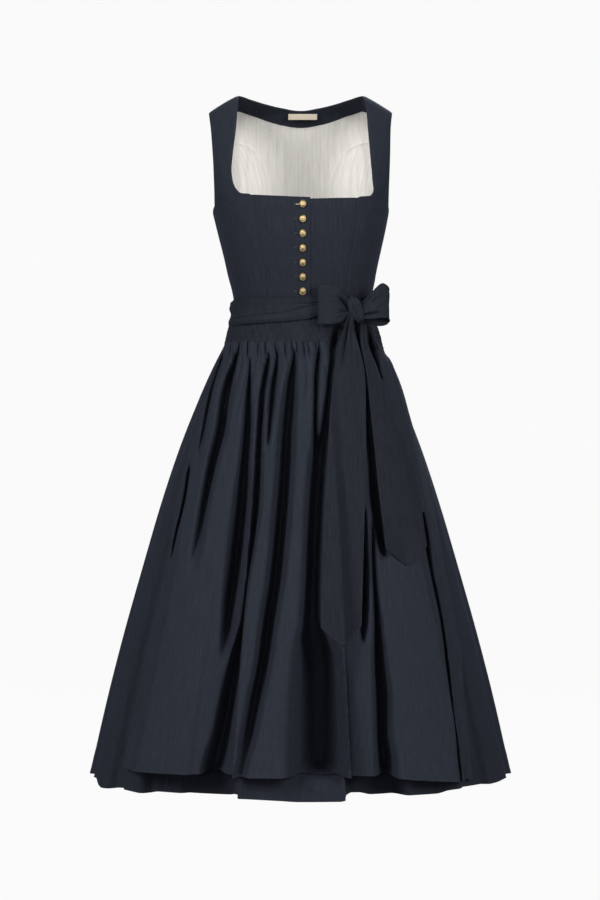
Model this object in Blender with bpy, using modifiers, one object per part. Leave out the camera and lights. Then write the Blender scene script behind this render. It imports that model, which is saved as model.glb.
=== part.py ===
# A dirndl, filled out as when it is worn, with nobody in it.
# Metres in the scene; the tables and sizes below are in millimetres. The front faces -Y,
# the wearer's left is +X, and the origin is midway between the tops of the shoulders.
import math
from collections import namedtuple

import bmesh
import bpy
import numpy as np
from mathutils import Vector

MM = 0.001

# Cloth walls and the gaps between pieces
BODICE_WALL = 1.6
LINING_WALL = 1.0
SKIRT_WALL = 1.5
APRON_WALL = 1.3
TIE_WALL = 1.4
LABEL_WALL = 0.8
SEAM_GAP = 0.34
LAYER_GAP = 0.35
TIE_GAP = 0.6
LABEL_GAP = 0.8

# Heights below the tops of the shoulders
WAIST_SEAM = -386.0
BAND_TOP = -363.0
BAND_FOOT = -401.0
SHIRRING_FOOT = -443.0
HEM = -1218.0

# Bodice
SHOULDER_DROP = 31.0
NECK_HALF_WIDTH = 111.0
SHOULDER_WIDTH = 53.0
FACING_ROWS = 1
LABEL_ROWS = (0.2, 0.62)
LABEL_COLUMNS = (-0.98, 0.0, 0.72)
BACK_NECK_DROP = 17.6
OVERLAP_EDGE = 16.6
UNDERLAP_EDGE = -14.0
NECK_ROW = 9
UNDERARM_ROW = 10
SEAM_START_ROW = 3
WAIST_ROW = 16

# Buttons
BUTTON_COUNT = 7
BUTTON_DIAMETER = 13.6
BUTTON_X = 4.0
FIRST_BUTTON = -202.5
BUTTON_PITCH = 25.0
BUTTON_SIDES = 10

# Skirt and apron
SKIRT_GATHERS = 32
GATHER_DEPTH = 4.2
GATHERS_START = -396.0
GATHERS_FULL = -425.0
GATHERS_FADE = -470.0
GATHERS_END = -760.0
APRON_GATHERS = 24
APRON_GATHER_DEPTH = 3.4
APRON_GATHERS_FADE = -480.0
APRON_GATHERS_END = -640.0
APRON_RAISE = 38.0
APRON_CLEARANCE = 1.6
APRON_OPEN = -1000.0
APRON_EDGE_SOFT = 0.09
VALLEY_TOP = -500.0
VALLEY_FOOT = -1150.0
POINTS_PER_GATHER = 4
UNDER_REACH = 6.0
BAND_STEP = 0.08
BAND_FLARE = 0.125
BAND_FLARE_TOP = -378.0

# Bow
KNOT_AT = (90.0, -99.0, -387.0)
KNOT_SIZE = (30.0, 25.0, 43.0)

ROUNDNESS = 2.4
SKIRT_ROUNDNESS = 2.1

Section = namedtuple("Section", "run down half_width front back")
BODICE_SECTIONS = [
    Section(0, 0, 187, 0, 0),
    Section(25, -5, 187, 23, 25),
    Section(50, -13, 187, 42, 49),
    Section(78, -27, 186, 59, 68),
    Section(106, -49, 185, 74, 80),
    Section(138, -79, 182.5, 88, 88),
    Section(172, -113, 178, 100, 93),
    Section(210, -150, 171, 111, 97),
    Section(245, -185, 162.5, 119, 98.5),
    Section(274, -214, 155.6, 122, 98),
    Section(310, -250, 147.6, 121, 96),
    Section(350, -290, 138, 115, 93),
    Section(390, -330, 130.3, 107, 89),
    Section(425, -362, 125, 100, 86),
    Section(450, -386, 122, 96, 84),
]

Level = namedtuple("Level", "z half_width front back")
SKIRT_LEVELS = [
    Level(-386.5, 119.5, 93.5, 81.5),
    Level(-402, 121, 95, 83.5),
    Level(-419, 127, 101, 92),
    Level(-446, 138, 111, 105),
    Level(-473, 151, 120, 116),
    Level(-500, 163, 129, 127),
    Level(-554, 184, 144, 146),
    Level(-635, 214, 164, 172),
    Level(-743, 250, 184, 204),
    Level(-851, 281, 200, 231),
    Level(-959, 311, 212, 254),
    Level(-1067, 338, 222, 273),
    Level(-1218, 372, 232, 294),
]

# Points of the seams and edges in the front view, each at its row of the panels' grids
Edge = namedtuple("Edge", "row x z")
FRONT_RIGHT_INNER = [
    Edge(0, -110.7, 0),
    Edge(1, -111.2, -12),
    Edge(2, -112, -32),
    Edge(3, -114.5, -66),
    Edge(4, -119, -104),
    Edge(5, -122, -138),
    Edge(6, -120, -158),
    Edge(7, -113, -174),
    Edge(8, -102, -185),
    Edge(9, -87, -191),
    Edge(11, -79, -243),
    Edge(13, -64.5, -301),
    Edge(16, -60, -386),
]
FRONT_LEFT_INNER = [
    Edge(0, 111.5, 0),
    Edge(1, 114, -12),
    Edge(2, 117, -32),
    Edge(3, 119.5, -66),
    Edge(4, 122.5, -104),
    Edge(5, 125.5, -138),
    Edge(6, 127, -160),
    Edge(7, 128, -176),
    Edge(8, 122, -188),
    Edge(9, 101, -192),
    Edge(11, 97, -243),
    Edge(13, 86, -301),
    Edge(16, 78, -386),
]
ARMHOLE_FRONT = [
    Edge(0, 164, -31),
    Edge(1, 162, -42),
    Edge(2, 160, -60),
    Edge(3, 159, -86),
    Edge(4, 158.4, -113),
    Edge(5, 157.6, -138),
    Edge(6, 157, -156),
    Edge(7, 156.6, -171),
    Edge(8, 156.4, -186),
    Edge(9, 156.2, -201),
]
ARMHOLE_BACK = [
    Edge(0, 164, -31),
    Edge(1, 162, -43),
    Edge(2, 160, -58),
    Edge(3, 158.5, -82),
    Edge(4, 157.5, -104),
    Edge(5, 157, -123),
    Edge(6, 156.6, -141),
    Edge(7, 156.3, -158),
    Edge(8, 156, -176),
    Edge(9, 156, -196),
]
SIDE_SEAM_HEIGHTS = [
    Edge(10, 0, -214),
    Edge(11, 0, -243),
    Edge(13, 0, -301),
    Edge(16, 0, -386),
]
BACK_SEAM = [
    Edge(3, 158.6, -74),
    Edge(4, 128, -76),
    Edge(5, 103, -81),
    Edge(6, 84, -93),
    Edge(7, 71, -114),
    Edge(8, 60, -138),
    Edge(9, 51, -164),
    Edge(11, 43, -222),
    Edge(13, 38, -290),
    Edge(16, 35, -386),
]

# A skirt fold stands out at the hem between two places on the way round, where 0 is the
# middle of the front, 1 the wearer's left side and 2 the middle of the back.
SkirtFold = namedtuple("SkirtFold", "start_around end_around depth soft starts_at")
SKIRT_FOLDS = [
    SkirtFold(-0.169, 0.124, 42, 0.035, -480),
    SkirtFold(-0.56, -0.36, 8, 0.09, -600),
    SkirtFold(-0.80, -0.70, 9, 0.05, -560),
    SkirtFold(-1.06, -0.94, 6, 0.06, -560),
    SkirtFold(-1.26, -1.16, 17, 0.06, -500),
    SkirtFold(-1.48, -1.36, 20, 0.06, -480),
    SkirtFold(-1.71, -1.59, 18, 0.06, -520),
    SkirtFold(-1.95, -1.82, 22, 0.06, -470),
    SkirtFold(0.32, 0.50, 9, 0.08, -600),
    SkirtFold(0.68, 0.78, 10, 0.05, -560),
    SkirtFold(0.94, 1.06, 6, 0.06, -580),
    SkirtFold(1.15, 1.25, 18, 0.06, -490),
    SkirtFold(1.36, 1.47, 19, 0.06, -520),
    SkirtFold(1.58, 1.70, 20, 0.06, -480),
    SkirtFold(1.80, 1.93, 19, 0.06, -500),
]

# An apron valley runs down the front at a share of the skirt's half width
Valley = namedtuple("Valley", "top middle hem left_width right_width depth_top depth_hem")
APRON_VALLEYS = [
    Valley(-0.60, -0.445, -0.387, 0.10, 0.055, 0.75, 1.0),
    Valley(-0.42, -0.30, -0.27, 0.04, 0.04, 0.55, 0.0),
    Valley(-0.13, -0.135, -0.175, 0.05, 0.065, 0.75, 0.45),
    Valley(0.18, 0.132, 0.085, 0.055, 0.065, 0.85, 1.0),
    Valley(0.45, 0.42, 0.385, 0.03, 0.05, 0.5, 0.75),
    Valley(0.66, 0.62, 0.60, 0.09, 0.09, 0.2, 0.1),
    Valley(-0.72, -0.66, -0.62, 0.10, 0.10, 0.25, 0.1),
]
MIDDLE_HEIGHT = -700.0

# The apron's side edges on the way round, and its hem's height along the way round
ApronEdge = namedtuple("ApronEdge", "z left right")
APRON_EDGES = [
    ApronEdge(-401, -1.04, 1.04),
    ApronEdge(-443, -0.86, 1.00),
    ApronEdge(-500, -0.735, 0.94),
    ApronEdge(-636, -0.693, 0.80),
    ApronEdge(-925, -0.61, 0.655),
    ApronEdge(-1107, -0.612, 0.605),
    ApronEdge(-1206, -0.622, 0.578),
]
HemPoint = namedtuple("HemPoint", "around z")
APRON_HEM = [
    HemPoint(-0.62, -1178),
    HemPoint(-0.35, -1172),
    HemPoint(0.0, -1168),
    HemPoint(0.35, -1172),
    HemPoint(0.48, -1186),
    HemPoint(0.578, -1198),
]

TailStation = namedtuple("TailStation", "z x half_width lift")
LONG_TAIL = [
    TailStation(-409.1, 84, 8, -0.1),
    TailStation(-430, 86, 13, 8),
    TailStation(-456, 87, 18.5, 6),
    TailStation(-491, 86, 26, 4),
    TailStation(-560, 82, 31, 3),
    TailStation(-626, 80, 32.8, 2),
    TailStation(-773, 73.8, 35, 2),
    TailStation(-928, 69, 35, 2),
]
SHORT_TAIL = [
    TailStation(-409.0, 98.5, 5, 3),
    TailStation(-440, 121, 12, 8),
    TailStation(-509, 134, 16, 4),
    TailStation(-550, 146, 25, 3),
    TailStation(-609, 159, 33, 2),
    TailStation(-700, 170, 35.5, 2),
    TailStation(-798, 182, 36.5, 2),
]
TAIL_POINT = 32.0
TAIL_STAND_OFF = 2.5


def smooth_curve(places, values):
    """A function through the points that never overshoots between them."""
    x = np.array(places, float)
    y = np.array(values, float)
    if x[0] > x[-1]:
        x, y = x[::-1], y[::-1]
    step = np.diff(x)
    slope = np.diff(y) / step
    turn = np.zeros(len(x))
    turn[0], turn[-1] = slope[0], slope[-1]
    for i in range(1, len(x) - 1):
        if slope[i - 1] * slope[i] > 0:
            near = 2 * step[i] + step[i - 1]
            far = step[i] + 2 * step[i - 1]
            turn[i] = (near + far) / (near / slope[i - 1] + far / slope[i])

    def value(at):
        at = min(max(at, x[0]), x[-1])
        i = min(int(np.searchsorted(x, at, side="right")) - 1, len(x) - 2)
        i = max(i, 0)
        h = step[i]
        s = (at - x[i]) / h
        rise = (1 + 2 * s) * (1 - s) ** 2 * y[i] + s * s * (3 - 2 * s) * y[i + 1]
        bend = s * (1 - s) ** 2 * h * turn[i] + s * s * (s - 1) * h * turn[i + 1]
        return float(rise + bend)

    return value


def columns_of(rows):
    """One smooth curve for each column of a table, along its first column."""
    first = [row[0] for row in rows]
    return {name: smooth_curve(first, [getattr(row, name) for row in rows])
            for name in rows[0]._fields[1:]}


def ease(value, low, high):
    """0 at low, 1 at high, and soft at both ends."""
    share = min(max((value - low) / (high - low), 0.0), 1.0)
    return share * share * (3 - 2 * share)


def on_oval(around, half_width, front, back, roundness):
    """A point of an oval ring: around is 0 in front, 1 at the left side, 2 at the back."""
    around = (around + 2) % 4 - 2
    turned = abs(around)
    depth = -front
    if turned > 1:
        turned = 2 - turned
        depth = back
    angle = turned * math.pi / 2
    x = half_width * max(math.sin(angle), 0.0) ** (2 / roundness)
    y = depth * max(math.cos(angle), 0.0) ** (2 / roundness)
    return math.copysign(x, around), y


def share_to_around(share, roundness):
    """The place on the front half of an oval whose x is this share of the half width."""
    size = min(abs(share), 1.0) ** (roundness / 2)
    return math.copysign(math.asin(size) * 2 / math.pi, share)


bodice = columns_of(BODICE_SECTIONS)
run_samples = np.linspace(0, BODICE_SECTIONS[-1].run, 600)
down_samples = np.array([bodice["down"](run) for run in run_samples])


def shoulder_slope(x, down):
    """How much lower the cloth lies towards the tip of the shoulder."""
    outward = max(abs(x) - NECK_HALF_WIDTH, 0.0) / SHOULDER_WIDTH
    fade = max(1 + down / 150, 0.0)
    return -SHOULDER_DROP * outward ** 1.15 * fade


def bodice_place(x, z, back=False):
    """(around, run) of the point of the bodice seen at x, z."""
    down = z
    for _ in range(12):
        down = min(z - shoulder_slope(x, down), 0.0)
    run = float(np.interp(-down, -down_samples, run_samples))
    around = share_to_around(x / bodice["half_width"](run), ROUNDNESS)
    if back:
        around = math.copysign(2 - abs(around), x)
    return around, run


def bodice_base(around, run):
    x, y = on_oval(around, bodice["half_width"](run), bodice["front"](run),
                   bodice["back"](run), ROUNDNESS)
    down = bodice["down"](run)
    return Vector((x, y, down + shoulder_slope(x, down)))


def bodice_point(around, run, out=0.0):
    """A point of the bodice's inner face, moved out by so much."""
    here = bodice_base(around, run)
    if out == 0.0:
        return here
    near, far = max(run - 2.0, 0.5), run + 2.0
    down_way = bodice_base(around, far) - bodice_base(around, near)
    round_way = bodice_base(around + 0.01, max(run, 0.5)) - bodice_base(around - 0.01, max(run, 0.5))
    normal = down_way.cross(round_way)
    return here + normal.normalized() * out


def edge_places(edges, rows, mirrored=False, back=False):
    """(around, run) of an edge at each row of a panel's grid."""
    x = smooth_curve([edge.row for edge in edges], [edge.x for edge in edges])
    z = smooth_curve([edge.row for edge in edges], [edge.z for edge in edges])
    sign = -1 if mirrored else 1
    return [bodice_place(sign * x(row), z(row), back) for row in rows]


def side_edge(armhole, first_row, left_side, back=False):
    """The armhole's edge down to the underarm, then the side seam."""
    above = edge_places(armhole, range(first_row, UNDERARM_ROW), not left_side, back)
    z = smooth_curve([edge.row for edge in SIDE_SEAM_HEIGHTS], [edge.z for edge in SIDE_SEAM_HEIGHTS])
    side = 1.0 if left_side else -1.0
    seam = [(side, bodice_place(0, z(row))[1]) for row in range(UNDERARM_ROW, WAIST_ROW + 1)]
    return above + seam


def blend(start, end, share):
    return tuple(a + (b - a) * share for a, b in zip(start, end))


def patch(left, right, columns, top=None):
    """Rows of (around, run) between two edges; top bends the upper rows to its own line."""
    rows = []
    last = len(left) - 1
    for number, (start, end) in enumerate(zip(left, right)):
        row = [blend(start, end, column / columns) for column in range(columns + 1)]
        if top:
            fade = (1 - number / last) ** 3
            straight = [blend(left[0], right[0], column / columns) for column in range(columns + 1)]
            row = [tuple(p + (t - s) * fade for p, t, s in zip(*three))
                   for three in zip(row, top, straight)]
        rows.append(row)
    return rows


def inset(grid, sides, by):
    """The grid with the edges on the named sides drawn in, square to each edge."""
    rows, columns = len(grid), len(grid[0])
    moved = [list(row) for row in grid]

    def draw_in(r, c, inner_r, inner_c, along_r, along_c):
        here = grid[r][c]
        inward = grid[inner_r][inner_c] - here
        first = grid[max(r - along_r, 0)][max(c - along_c, 0)]
        second = grid[min(r + along_r, rows - 1)][min(c + along_c, columns - 1)]
        along = (second - first).normalized()
        square = inward - along * inward.dot(along)
        moved[r][c] = moved[r][c] + square.normalized() * by

    for r in range(rows):
        if "left" in sides:
            draw_in(r, 0, r, 1, 1, 0)
        if "right" in sides:
            draw_in(r, columns - 1, r, columns - 2, 1, 0)
    for c in range(columns):
        if "top" in sides:
            draw_in(0, c, 1, c, 0, 1)
        if "bottom" in sides:
            draw_in(rows - 1, c, rows - 2, c, 0, 1)
    return moved


def new_collection(name):
    collection = bpy.data.collections.new(name)
    bpy.context.scene.collection.children.link(collection)
    return collection


def clear_scene():
    for thing in list(bpy.data.objects):
        bpy.data.objects.remove(thing, do_unlink=True)


def material(name, colour, roughness, metallic=0.0):
    made = bpy.data.materials.new(name)
    made.use_nodes = True
    shader = made.node_tree.nodes["Principled BSDF"]
    shader.inputs["Base Color"].default_value = (*colour, 1.0)
    shader.inputs["Roughness"].default_value = roughness
    shader.inputs["Metallic"].default_value = metallic
    made.diffuse_color = (*colour, 1.0)
    return made


def add_object(name, mesh, surface, collection):
    thing = bpy.data.objects.new(name, mesh)
    mesh.materials.append(surface)
    mesh.shade_smooth()
    mesh.set_sharp_from_angle(angle=math.radians(50))
    collection.objects.link(thing)
    return thing


def sheet(name, grid, wall, surface, collection, closed=False):
    """A cloth piece: an open surface through the rows of points, given its wall outwards."""
    work = bmesh.new()
    rows = [[work.verts.new(point * MM) for point in row] for row in grid]
    for upper, lower in zip(rows, rows[1:]):
        count = len(upper)
        for c in range(count if closed else count - 1):
            n = (c + 1) % count
            work.faces.new((upper[c], lower[c], lower[n], upper[n]))
    mesh = bpy.data.meshes.new(name)
    work.to_mesh(mesh)
    work.free()
    thing = add_object(name, mesh, surface, collection)
    solidify = thing.modifiers.new("Wall", "SOLIDIFY")
    solidify.thickness = wall * MM
    solidify.offset = 1.0
    solidify.use_even_offset = True
    solidify.use_quality_normals = True
    return thing


def panel(name, places, wall, surface, collection, gaps, out=0.0, ramp=None):
    """A bodice panel. ramp gives more height above the form by x and z."""
    grid = []
    for row in places:
        points = []
        for around, run in row:
            lift = out
            if ramp:
                lift += ramp(bodice_base(around, run))
            points.append(bodice_point(around, run, lift))
        grid.append(points)
    return sheet(name, inset(grid, gaps, SEAM_GAP / 2), wall, surface, collection)


def overlap_ramp(point):
    """The buttonhole side climbs over the button side near the middle of the front."""
    return (BODICE_WALL + LAYER_GAP) * ease(point.x, UNDERLAP_EDGE - 50, UNDERLAP_EDGE - 16)


def make_bodice(cloth, collection):
    rows = range(WAIST_ROW + 1)
    low_rows = range(NECK_ROW, WAIST_ROW + 1)
    right_inner = edge_places(FRONT_RIGHT_INNER, rows)
    left_inner = edge_places(FRONT_LEFT_INNER, rows)
    right_outer = side_edge(ARMHOLE_FRONT, 0, left_side=False)
    left_outer = side_edge(ARMHOLE_FRONT, 0, left_side=True)
    all_round = ("left", "right", "top", "bottom")

    panel("side_front_right", patch(right_outer, right_inner, 5), BODICE_WALL, cloth, collection, all_round)
    panel("side_front_left", patch(left_inner, left_outer, 5), BODICE_WALL, cloth, collection, all_round)

    neck_z = smooth_curve([-87, 0, 101], [-191, -197, -192])
    seam_z = [smooth_curve([e.row for e in table], [e.z for e in table])
              for table in (FRONT_RIGHT_INNER, FRONT_LEFT_INNER)]

    def front_edge(x, z_of, corner):
        places = []
        for row in low_rows:
            z = z_of(row) if row > NECK_ROW else neck_z(x) + corner
            places.append(bodice_place(x, z))
        return places

    overlap = front_edge(OVERLAP_EDGE, seam_z[0], -2.0)
    underlap = front_edge(UNDERLAP_EDGE, seam_z[1], -3.0)
    panel("front_right", patch(right_inner[NECK_ROW:], overlap, 6), BODICE_WALL, cloth, collection,
          ("left", "bottom"), ramp=overlap_ramp)
    panel("front_left", patch(underlap, left_inner[NECK_ROW:], 5), BODICE_WALL, cloth, collection,
          ("right", "bottom"))

    left_seam = edge_places(BACK_SEAM, range(SEAM_START_ROW, WAIST_ROW + 1), False, True)
    right_seam = edge_places(BACK_SEAM, range(SEAM_START_ROW, WAIST_ROW + 1), True, True)
    left_armhole = edge_places(ARMHOLE_BACK, range(SEAM_START_ROW), False, True)
    right_armhole = edge_places(ARMHOLE_BACK, range(SEAM_START_ROW), True, True)
    side_left = patch(side_edge(ARMHOLE_BACK, SEAM_START_ROW, True, True), left_seam, 4)
    side_right = patch(right_seam, side_edge(ARMHOLE_BACK, SEAM_START_ROW, False, True), 4)
    # Counted on past the middle of the back, the right side's places run from 2 up to 3
    right_edge = [(4 + around, run) for around, run in right_armhole + right_seam]
    centre = patch(left_armhole + left_seam, right_edge, 12, back_top())
    panel("side_back_left", side_left, BODICE_WALL, cloth, collection, all_round)
    panel("side_back_right", side_right, BODICE_WALL, cloth, collection, all_round)
    panel("centre_back", centre, BODICE_WALL, cloth, collection, all_round)
    return centre, side_left, side_right


def back_top():
    """The top edge of the back: left shoulder, neck, right shoulder."""
    xs = [164, 138, NECK_HALF_WIDTH, 90, 60, 30, 0]
    zs = [-31, -13.5, 0, -3.5, -10, -15.7, -BACK_NECK_DROP]
    left = [bodice_place(x, z, True) for x, z in zip(xs, zs)]
    right = [(4 - around, run) for around, run in left[-2::-1]]
    return left + right


def between(grid, row, column):
    """A point of the grid at a row and column that need not be whole."""
    r, c = min(int(row), len(grid) - 2), min(int(column), len(grid[0]) - 2)
    upper = grid[r][c].lerp(grid[r][c + 1], column - c)
    lower = grid[r + 1][c].lerp(grid[r + 1][c + 1], column - c)
    return upper.lerp(lower, row - r)


def make_back_inside(lining, cloth, woven, collection, places):
    """The lining, the neck facing and the label, which show through the neck."""
    centre, side_left, side_right = places
    out = -(LAYER_GAP + LINING_WALL)
    all_round = ("left", "right", "top", "bottom")
    panel("lining_centre_back", centre[FACING_ROWS:], LINING_WALL, lining, collection, all_round, out=out)
    panel("lining_side_back_left", side_left, LINING_WALL, lining, collection, all_round, out=out)
    panel("lining_side_back_right", side_right, LINING_WALL, lining, collection, all_round, out=out)
    panel("back_neck_facing", centre[:FACING_ROWS + 1], LINING_WALL, cloth, collection, all_round, out=out)
    facing = [[bodice_point(around, run, out) for around, run in row] for row in centre[:FACING_ROWS + 1]]
    middle = len(facing[0]) // 2
    across = facing[0][middle + 1] - facing[0][middle - 1]
    down = facing[1][middle] - facing[0][middle]
    inward = across.cross(down).normalized() * (LABEL_WALL + LABEL_GAP)
    grid = []
    for row in LABEL_ROWS:
        grid.append([between(facing, row, middle + column) + inward for column in LABEL_COLUMNS])
    sheet("label", grid, LABEL_WALL, woven, collection)


def make_buttons(brass, collection):
    """Domed buttons, each turned about the line square to the cloth."""
    radius = BUTTON_DIAMETER / 2
    profile = [(0, 0), (2.2, 0), (2.2, 1.3), (radius - 1.2, 1.5), (radius, 2.2),
               (radius - 0.5, 3.3), (radius * 0.62, 4.7), (radius * 0.3, 5.2), (0, 5.3)]
    for number in range(BUTTON_COUNT):
        z = FIRST_BUTTON - number * BUTTON_PITCH
        around, run = bodice_place(BUTTON_X, z)
        lift = BODICE_WALL * 2 + LAYER_GAP * 2
        base = bodice_point(around, run, lift)
        normal = (bodice_point(around, run, lift + 5) - base).normalized()
        mesh = bpy.data.meshes.new("button")
        work = bmesh.new()
        points = [work.verts.new((0, across * MM, high * MM)) for across, high in reversed(profile)]
        for a, b in zip(points, points[1:]):
            work.edges.new((a, b))
        work.to_mesh(mesh)
        work.free()
        button = add_object(f"button_{number + 1}", mesh, brass, collection)
        screw = button.modifiers.new("Turn", "SCREW")
        screw.steps = BUTTON_SIDES
        screw.render_steps = BUTTON_SIDES
        screw.use_merge_vertices = True
        screw.merge_threshold = 0.00001
        button.location = base * MM
        button.rotation_mode = "QUATERNION"
        button.rotation_quaternion = normal.to_track_quat("Z", "Y")


skirt = columns_of(SKIRT_LEVELS)


def hem_share(z, start):
    """How far a fold that starts at this height has opened."""
    return max((start - z) / (start - HEM), 0.0) ** 0.85 if z < start else 0.0


def skirt_lift(around, z):
    """How far the skirt's folds and gathers stand out from its plain form."""
    lift = 0.0
    for fold in SKIRT_FOLDS:
        rise = ease(around, fold.start_around - fold.soft, fold.start_around)
        fall = 1 - ease(around, fold.end_around, fold.end_around + fold.soft)
        lift += fold.depth * rise * fall * hem_share(z, fold.starts_at)
    fade = 1 - ease(-z, -GATHERS_FADE, -GATHERS_END)
    wave = 0.5 + 0.5 * math.cos(math.pi / 2 * around * SKIRT_GATHERS)
    start = ease(-z, -GATHERS_START, -GATHERS_FULL)
    return lift + GATHER_DEPTH * wave * fade * start


def form_point(around, z, lift):
    """A point of the skirt's form, moved out level and square to its oval."""
    def oval(at):
        return on_oval(at, skirt["half_width"](z), skirt["front"](z), skirt["back"](z), SKIRT_ROUNDNESS)

    x, y = oval(around)
    ahead, behind = oval(around + 0.02), oval(around - 0.02)
    along = (ahead[0] - behind[0], ahead[1] - behind[1])
    size = math.hypot(*along)
    away = (along[1] / size, -along[0] / size)
    return Vector((x + away[0] * lift, y + away[1] * lift, z))


def skirt_point(around, z):
    turned = around if around <= 2 else around - 4
    return form_point(turned, z, skirt_lift(turned, z))


SKIRT_ROWS = [WAIST_SEAM - 0.5, -402, -430, -480, -570, -720, -930, HEM]


def make_skirt(cloth, collection):
    """Front and back panels, joined at the side seams."""
    per_panel = SKIRT_GATHERS * POINTS_PER_GATHER // 2
    for name, first in (("skirt_front", -1.0), ("skirt_back", 1.0)):
        grid = []
        for z in SKIRT_ROWS:
            row = []
            for column in range(per_panel + 1):
                around = first + 2 * column / per_panel
                row.append(skirt_point(around, z))
            grid.append(row)
        grid = inset(grid, ("left", "right"), SEAM_GAP / 2)
        sheet(name, grid, SKIRT_WALL, cloth, collection)


apron_edges = columns_of(APRON_EDGES)
apron_hem = columns_of(APRON_HEM)


def valley_place(valley, z):
    line = smooth_curve([SHIRRING_FOOT, MIDDLE_HEIGHT, HEM], [valley.top, valley.middle, valley.hem])
    return line(z)


def apron_lift(around, z, gather):
    """How far the apron stands out from the skirt's form: clear of the skirt, then its own folds."""
    reach = UNDER_REACH / skirt["half_width"](z)
    under = max(skirt_lift(around + step * reach, z) for step in (-1, -0.5, 0, 0.5, 1))
    share = math.sin(around * math.pi / 2)
    opened = ease(-z, -SHIRRING_FOOT - 12, -APRON_OPEN)
    raised = APRON_RAISE * (0.25 + 0.75 * opened) * ease(-z, -SHIRRING_FOOT - 8, -SHIRRING_FOOT + 70)
    sunk = 0.0
    for valley in APRON_VALLEYS:
        offset = share - valley_place(valley, z)
        width = valley.left_width if offset < 0 else valley.right_width
        depth = valley.depth_top + (valley.depth_hem - valley.depth_top) * ease(-z, -VALLEY_TOP, -VALLEY_FOOT)
        sunk += depth * math.exp(-(offset / width) ** 2)
    edge = min(around - apron_edges["left"](z), apron_edges["right"](z) - around)
    raised *= 0.12 + 0.88 * ease(edge, 0.0, APRON_EDGE_SOFT)
    fade = 1 - 0.9 * ease(-z, -APRON_GATHERS_FADE, -APRON_GATHERS_END)
    wave = 0.5 + 0.5 * math.cos(2 * math.pi * gather)
    return under + SKIRT_WALL + APRON_CLEARANCE + raised * max(1 - sunk, 0.0) + APRON_GATHER_DEPTH * wave * fade


def apron_point(share_across, z):
    """share_across runs from 0 at the wearer's right edge to 1 at the left edge."""
    left, right = apron_edges["left"](z), apron_edges["right"](z)
    around = left + (right - left) * share_across
    return form_point(around, z, apron_lift(around, z, share_across * APRON_GATHERS))


def make_apron(cloth, collection):
    columns = APRON_GATHERS * POINTS_PER_GATHER
    shares = [column / columns for column in range(columns + 1)]
    left, right = APRON_EDGES[0].left, APRON_EDGES[0].right
    tops = [band_foot(left + (right - left) * share) - 0.9 for share in shares]
    shirring = [[apron_point(share, top + (SHIRRING_FOOT - top) * down) for share, top in zip(shares, tops)]
                for down in (0.0, 0.5, 1.0)]
    sheet("apron_shirring", shirring, APRON_WALL, cloth, collection)
    heights = [SHIRRING_FOOT - 0.4, -462, -495, -545, -620, -730, -870, -1020]
    grid = [[apron_point(share, z) for share in shares] for z in heights]
    last = []
    for share in shares:
        around = APRON_EDGES[-1].left + (APRON_EDGES[-1].right - APRON_EDGES[-1].left) * share
        last.append(apron_point(share, apron_hem["z"](around)))
    grid.append(last)
    sheet("apron_panel", grid, APRON_WALL, cloth, collection)


def band_foot(around):
    """The lower edge of the waistband, which sags over the wearer's right hip."""
    return BAND_FOOT - 9 * ease(-around, 0.35, 1.0)


def band_point(around, z, out):
    """A point over the bodice and the top of the skirt at the waist."""
    _, run = bodice_place(0, max(z, WAIST_SEAM))
    flare = BAND_FLARE * max(BAND_FLARE_TOP - z, 0.0)
    placket = ease(around, -0.32, -0.16) * (1 - ease(around, 0.08, 0.24))
    lift = out + flare + (BODICE_WALL + LAYER_GAP) * placket
    x, y = on_oval(around, bodice["half_width"](run) + lift, bodice["front"](run) + lift,
                   bodice["back"](run) + lift, ROUNDNESS)
    return Vector((x, y, z))


def band_grid(first_step, last_step, layer, top, foot):
    """Rows of a strip round the waist; layer, top and foot are functions of the way round."""
    grid = []
    for share in (0.0, 0.33, 0.67, 1.0):
        row = []
        for step in range(first_step, last_step + 1):
            around = step * BAND_STEP
            z = top(around) + (foot(around) - top(around)) * share
            row.append(band_point((around + 2) % 4 - 2, z, layer(around)))
        grid.append(row)
    return grid


def make_waist_ties(cloth, collection):
    """The apron's band, and its two ties, which cross at the back and come round to the bow."""
    first = BODICE_WALL + LAYER_GAP * 2
    second = first + TIE_WALL + TIE_GAP

    def left_layer(around):
        return first + (second - first) * (1 - ease(around, 1.36, 1.6))

    sheet("apron_waistband", band_grid(-16, 16, lambda a: first, lambda a: BAND_TOP, band_foot),
          TIE_WALL, cloth, collection)
    sheet("tie_round_right", band_grid(-26, 5, lambda a: second, lambda a: BAND_TOP + 1.5,
                                       lambda a: band_foot(a) + 9), TIE_WALL, cloth, collection)
    sheet("tie_round_left", band_grid(7, 26, left_layer, lambda a: BAND_TOP + 1,
                                      lambda a: BAND_FOOT + 6), TIE_WALL, cloth, collection)


def make_knot(cloth, collection):
    mesh = bpy.data.meshes.new("bow_knot")
    work = bmesh.new()
    bmesh.ops.create_uvsphere(work, u_segments=16, v_segments=10, radius=1.0)
    for vertex in work.verts:
        x, y, z = vertex.co
        swell = 1 / max(abs(x) ** 3 + abs(y) ** 3 + abs(z) ** 3, 1e-9) ** (1 / 3)
        pinch = 1 - 0.12 * (z * swell) ** 2
        size = Vector((KNOT_SIZE[0] * pinch, KNOT_SIZE[1], KNOT_SIZE[2])) / 2
        vertex.co = Vector((x * size.x, y * size.y, z * size.z)) * swell * MM
    work.to_mesh(mesh)
    work.free()
    knot = add_object("bow_knot", mesh, cloth, collection)
    knot.location = Vector(KNOT_AT) * MM
    return knot


LoopStation = namedtuple("LoopStation", "along x y half_height middle")


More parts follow.
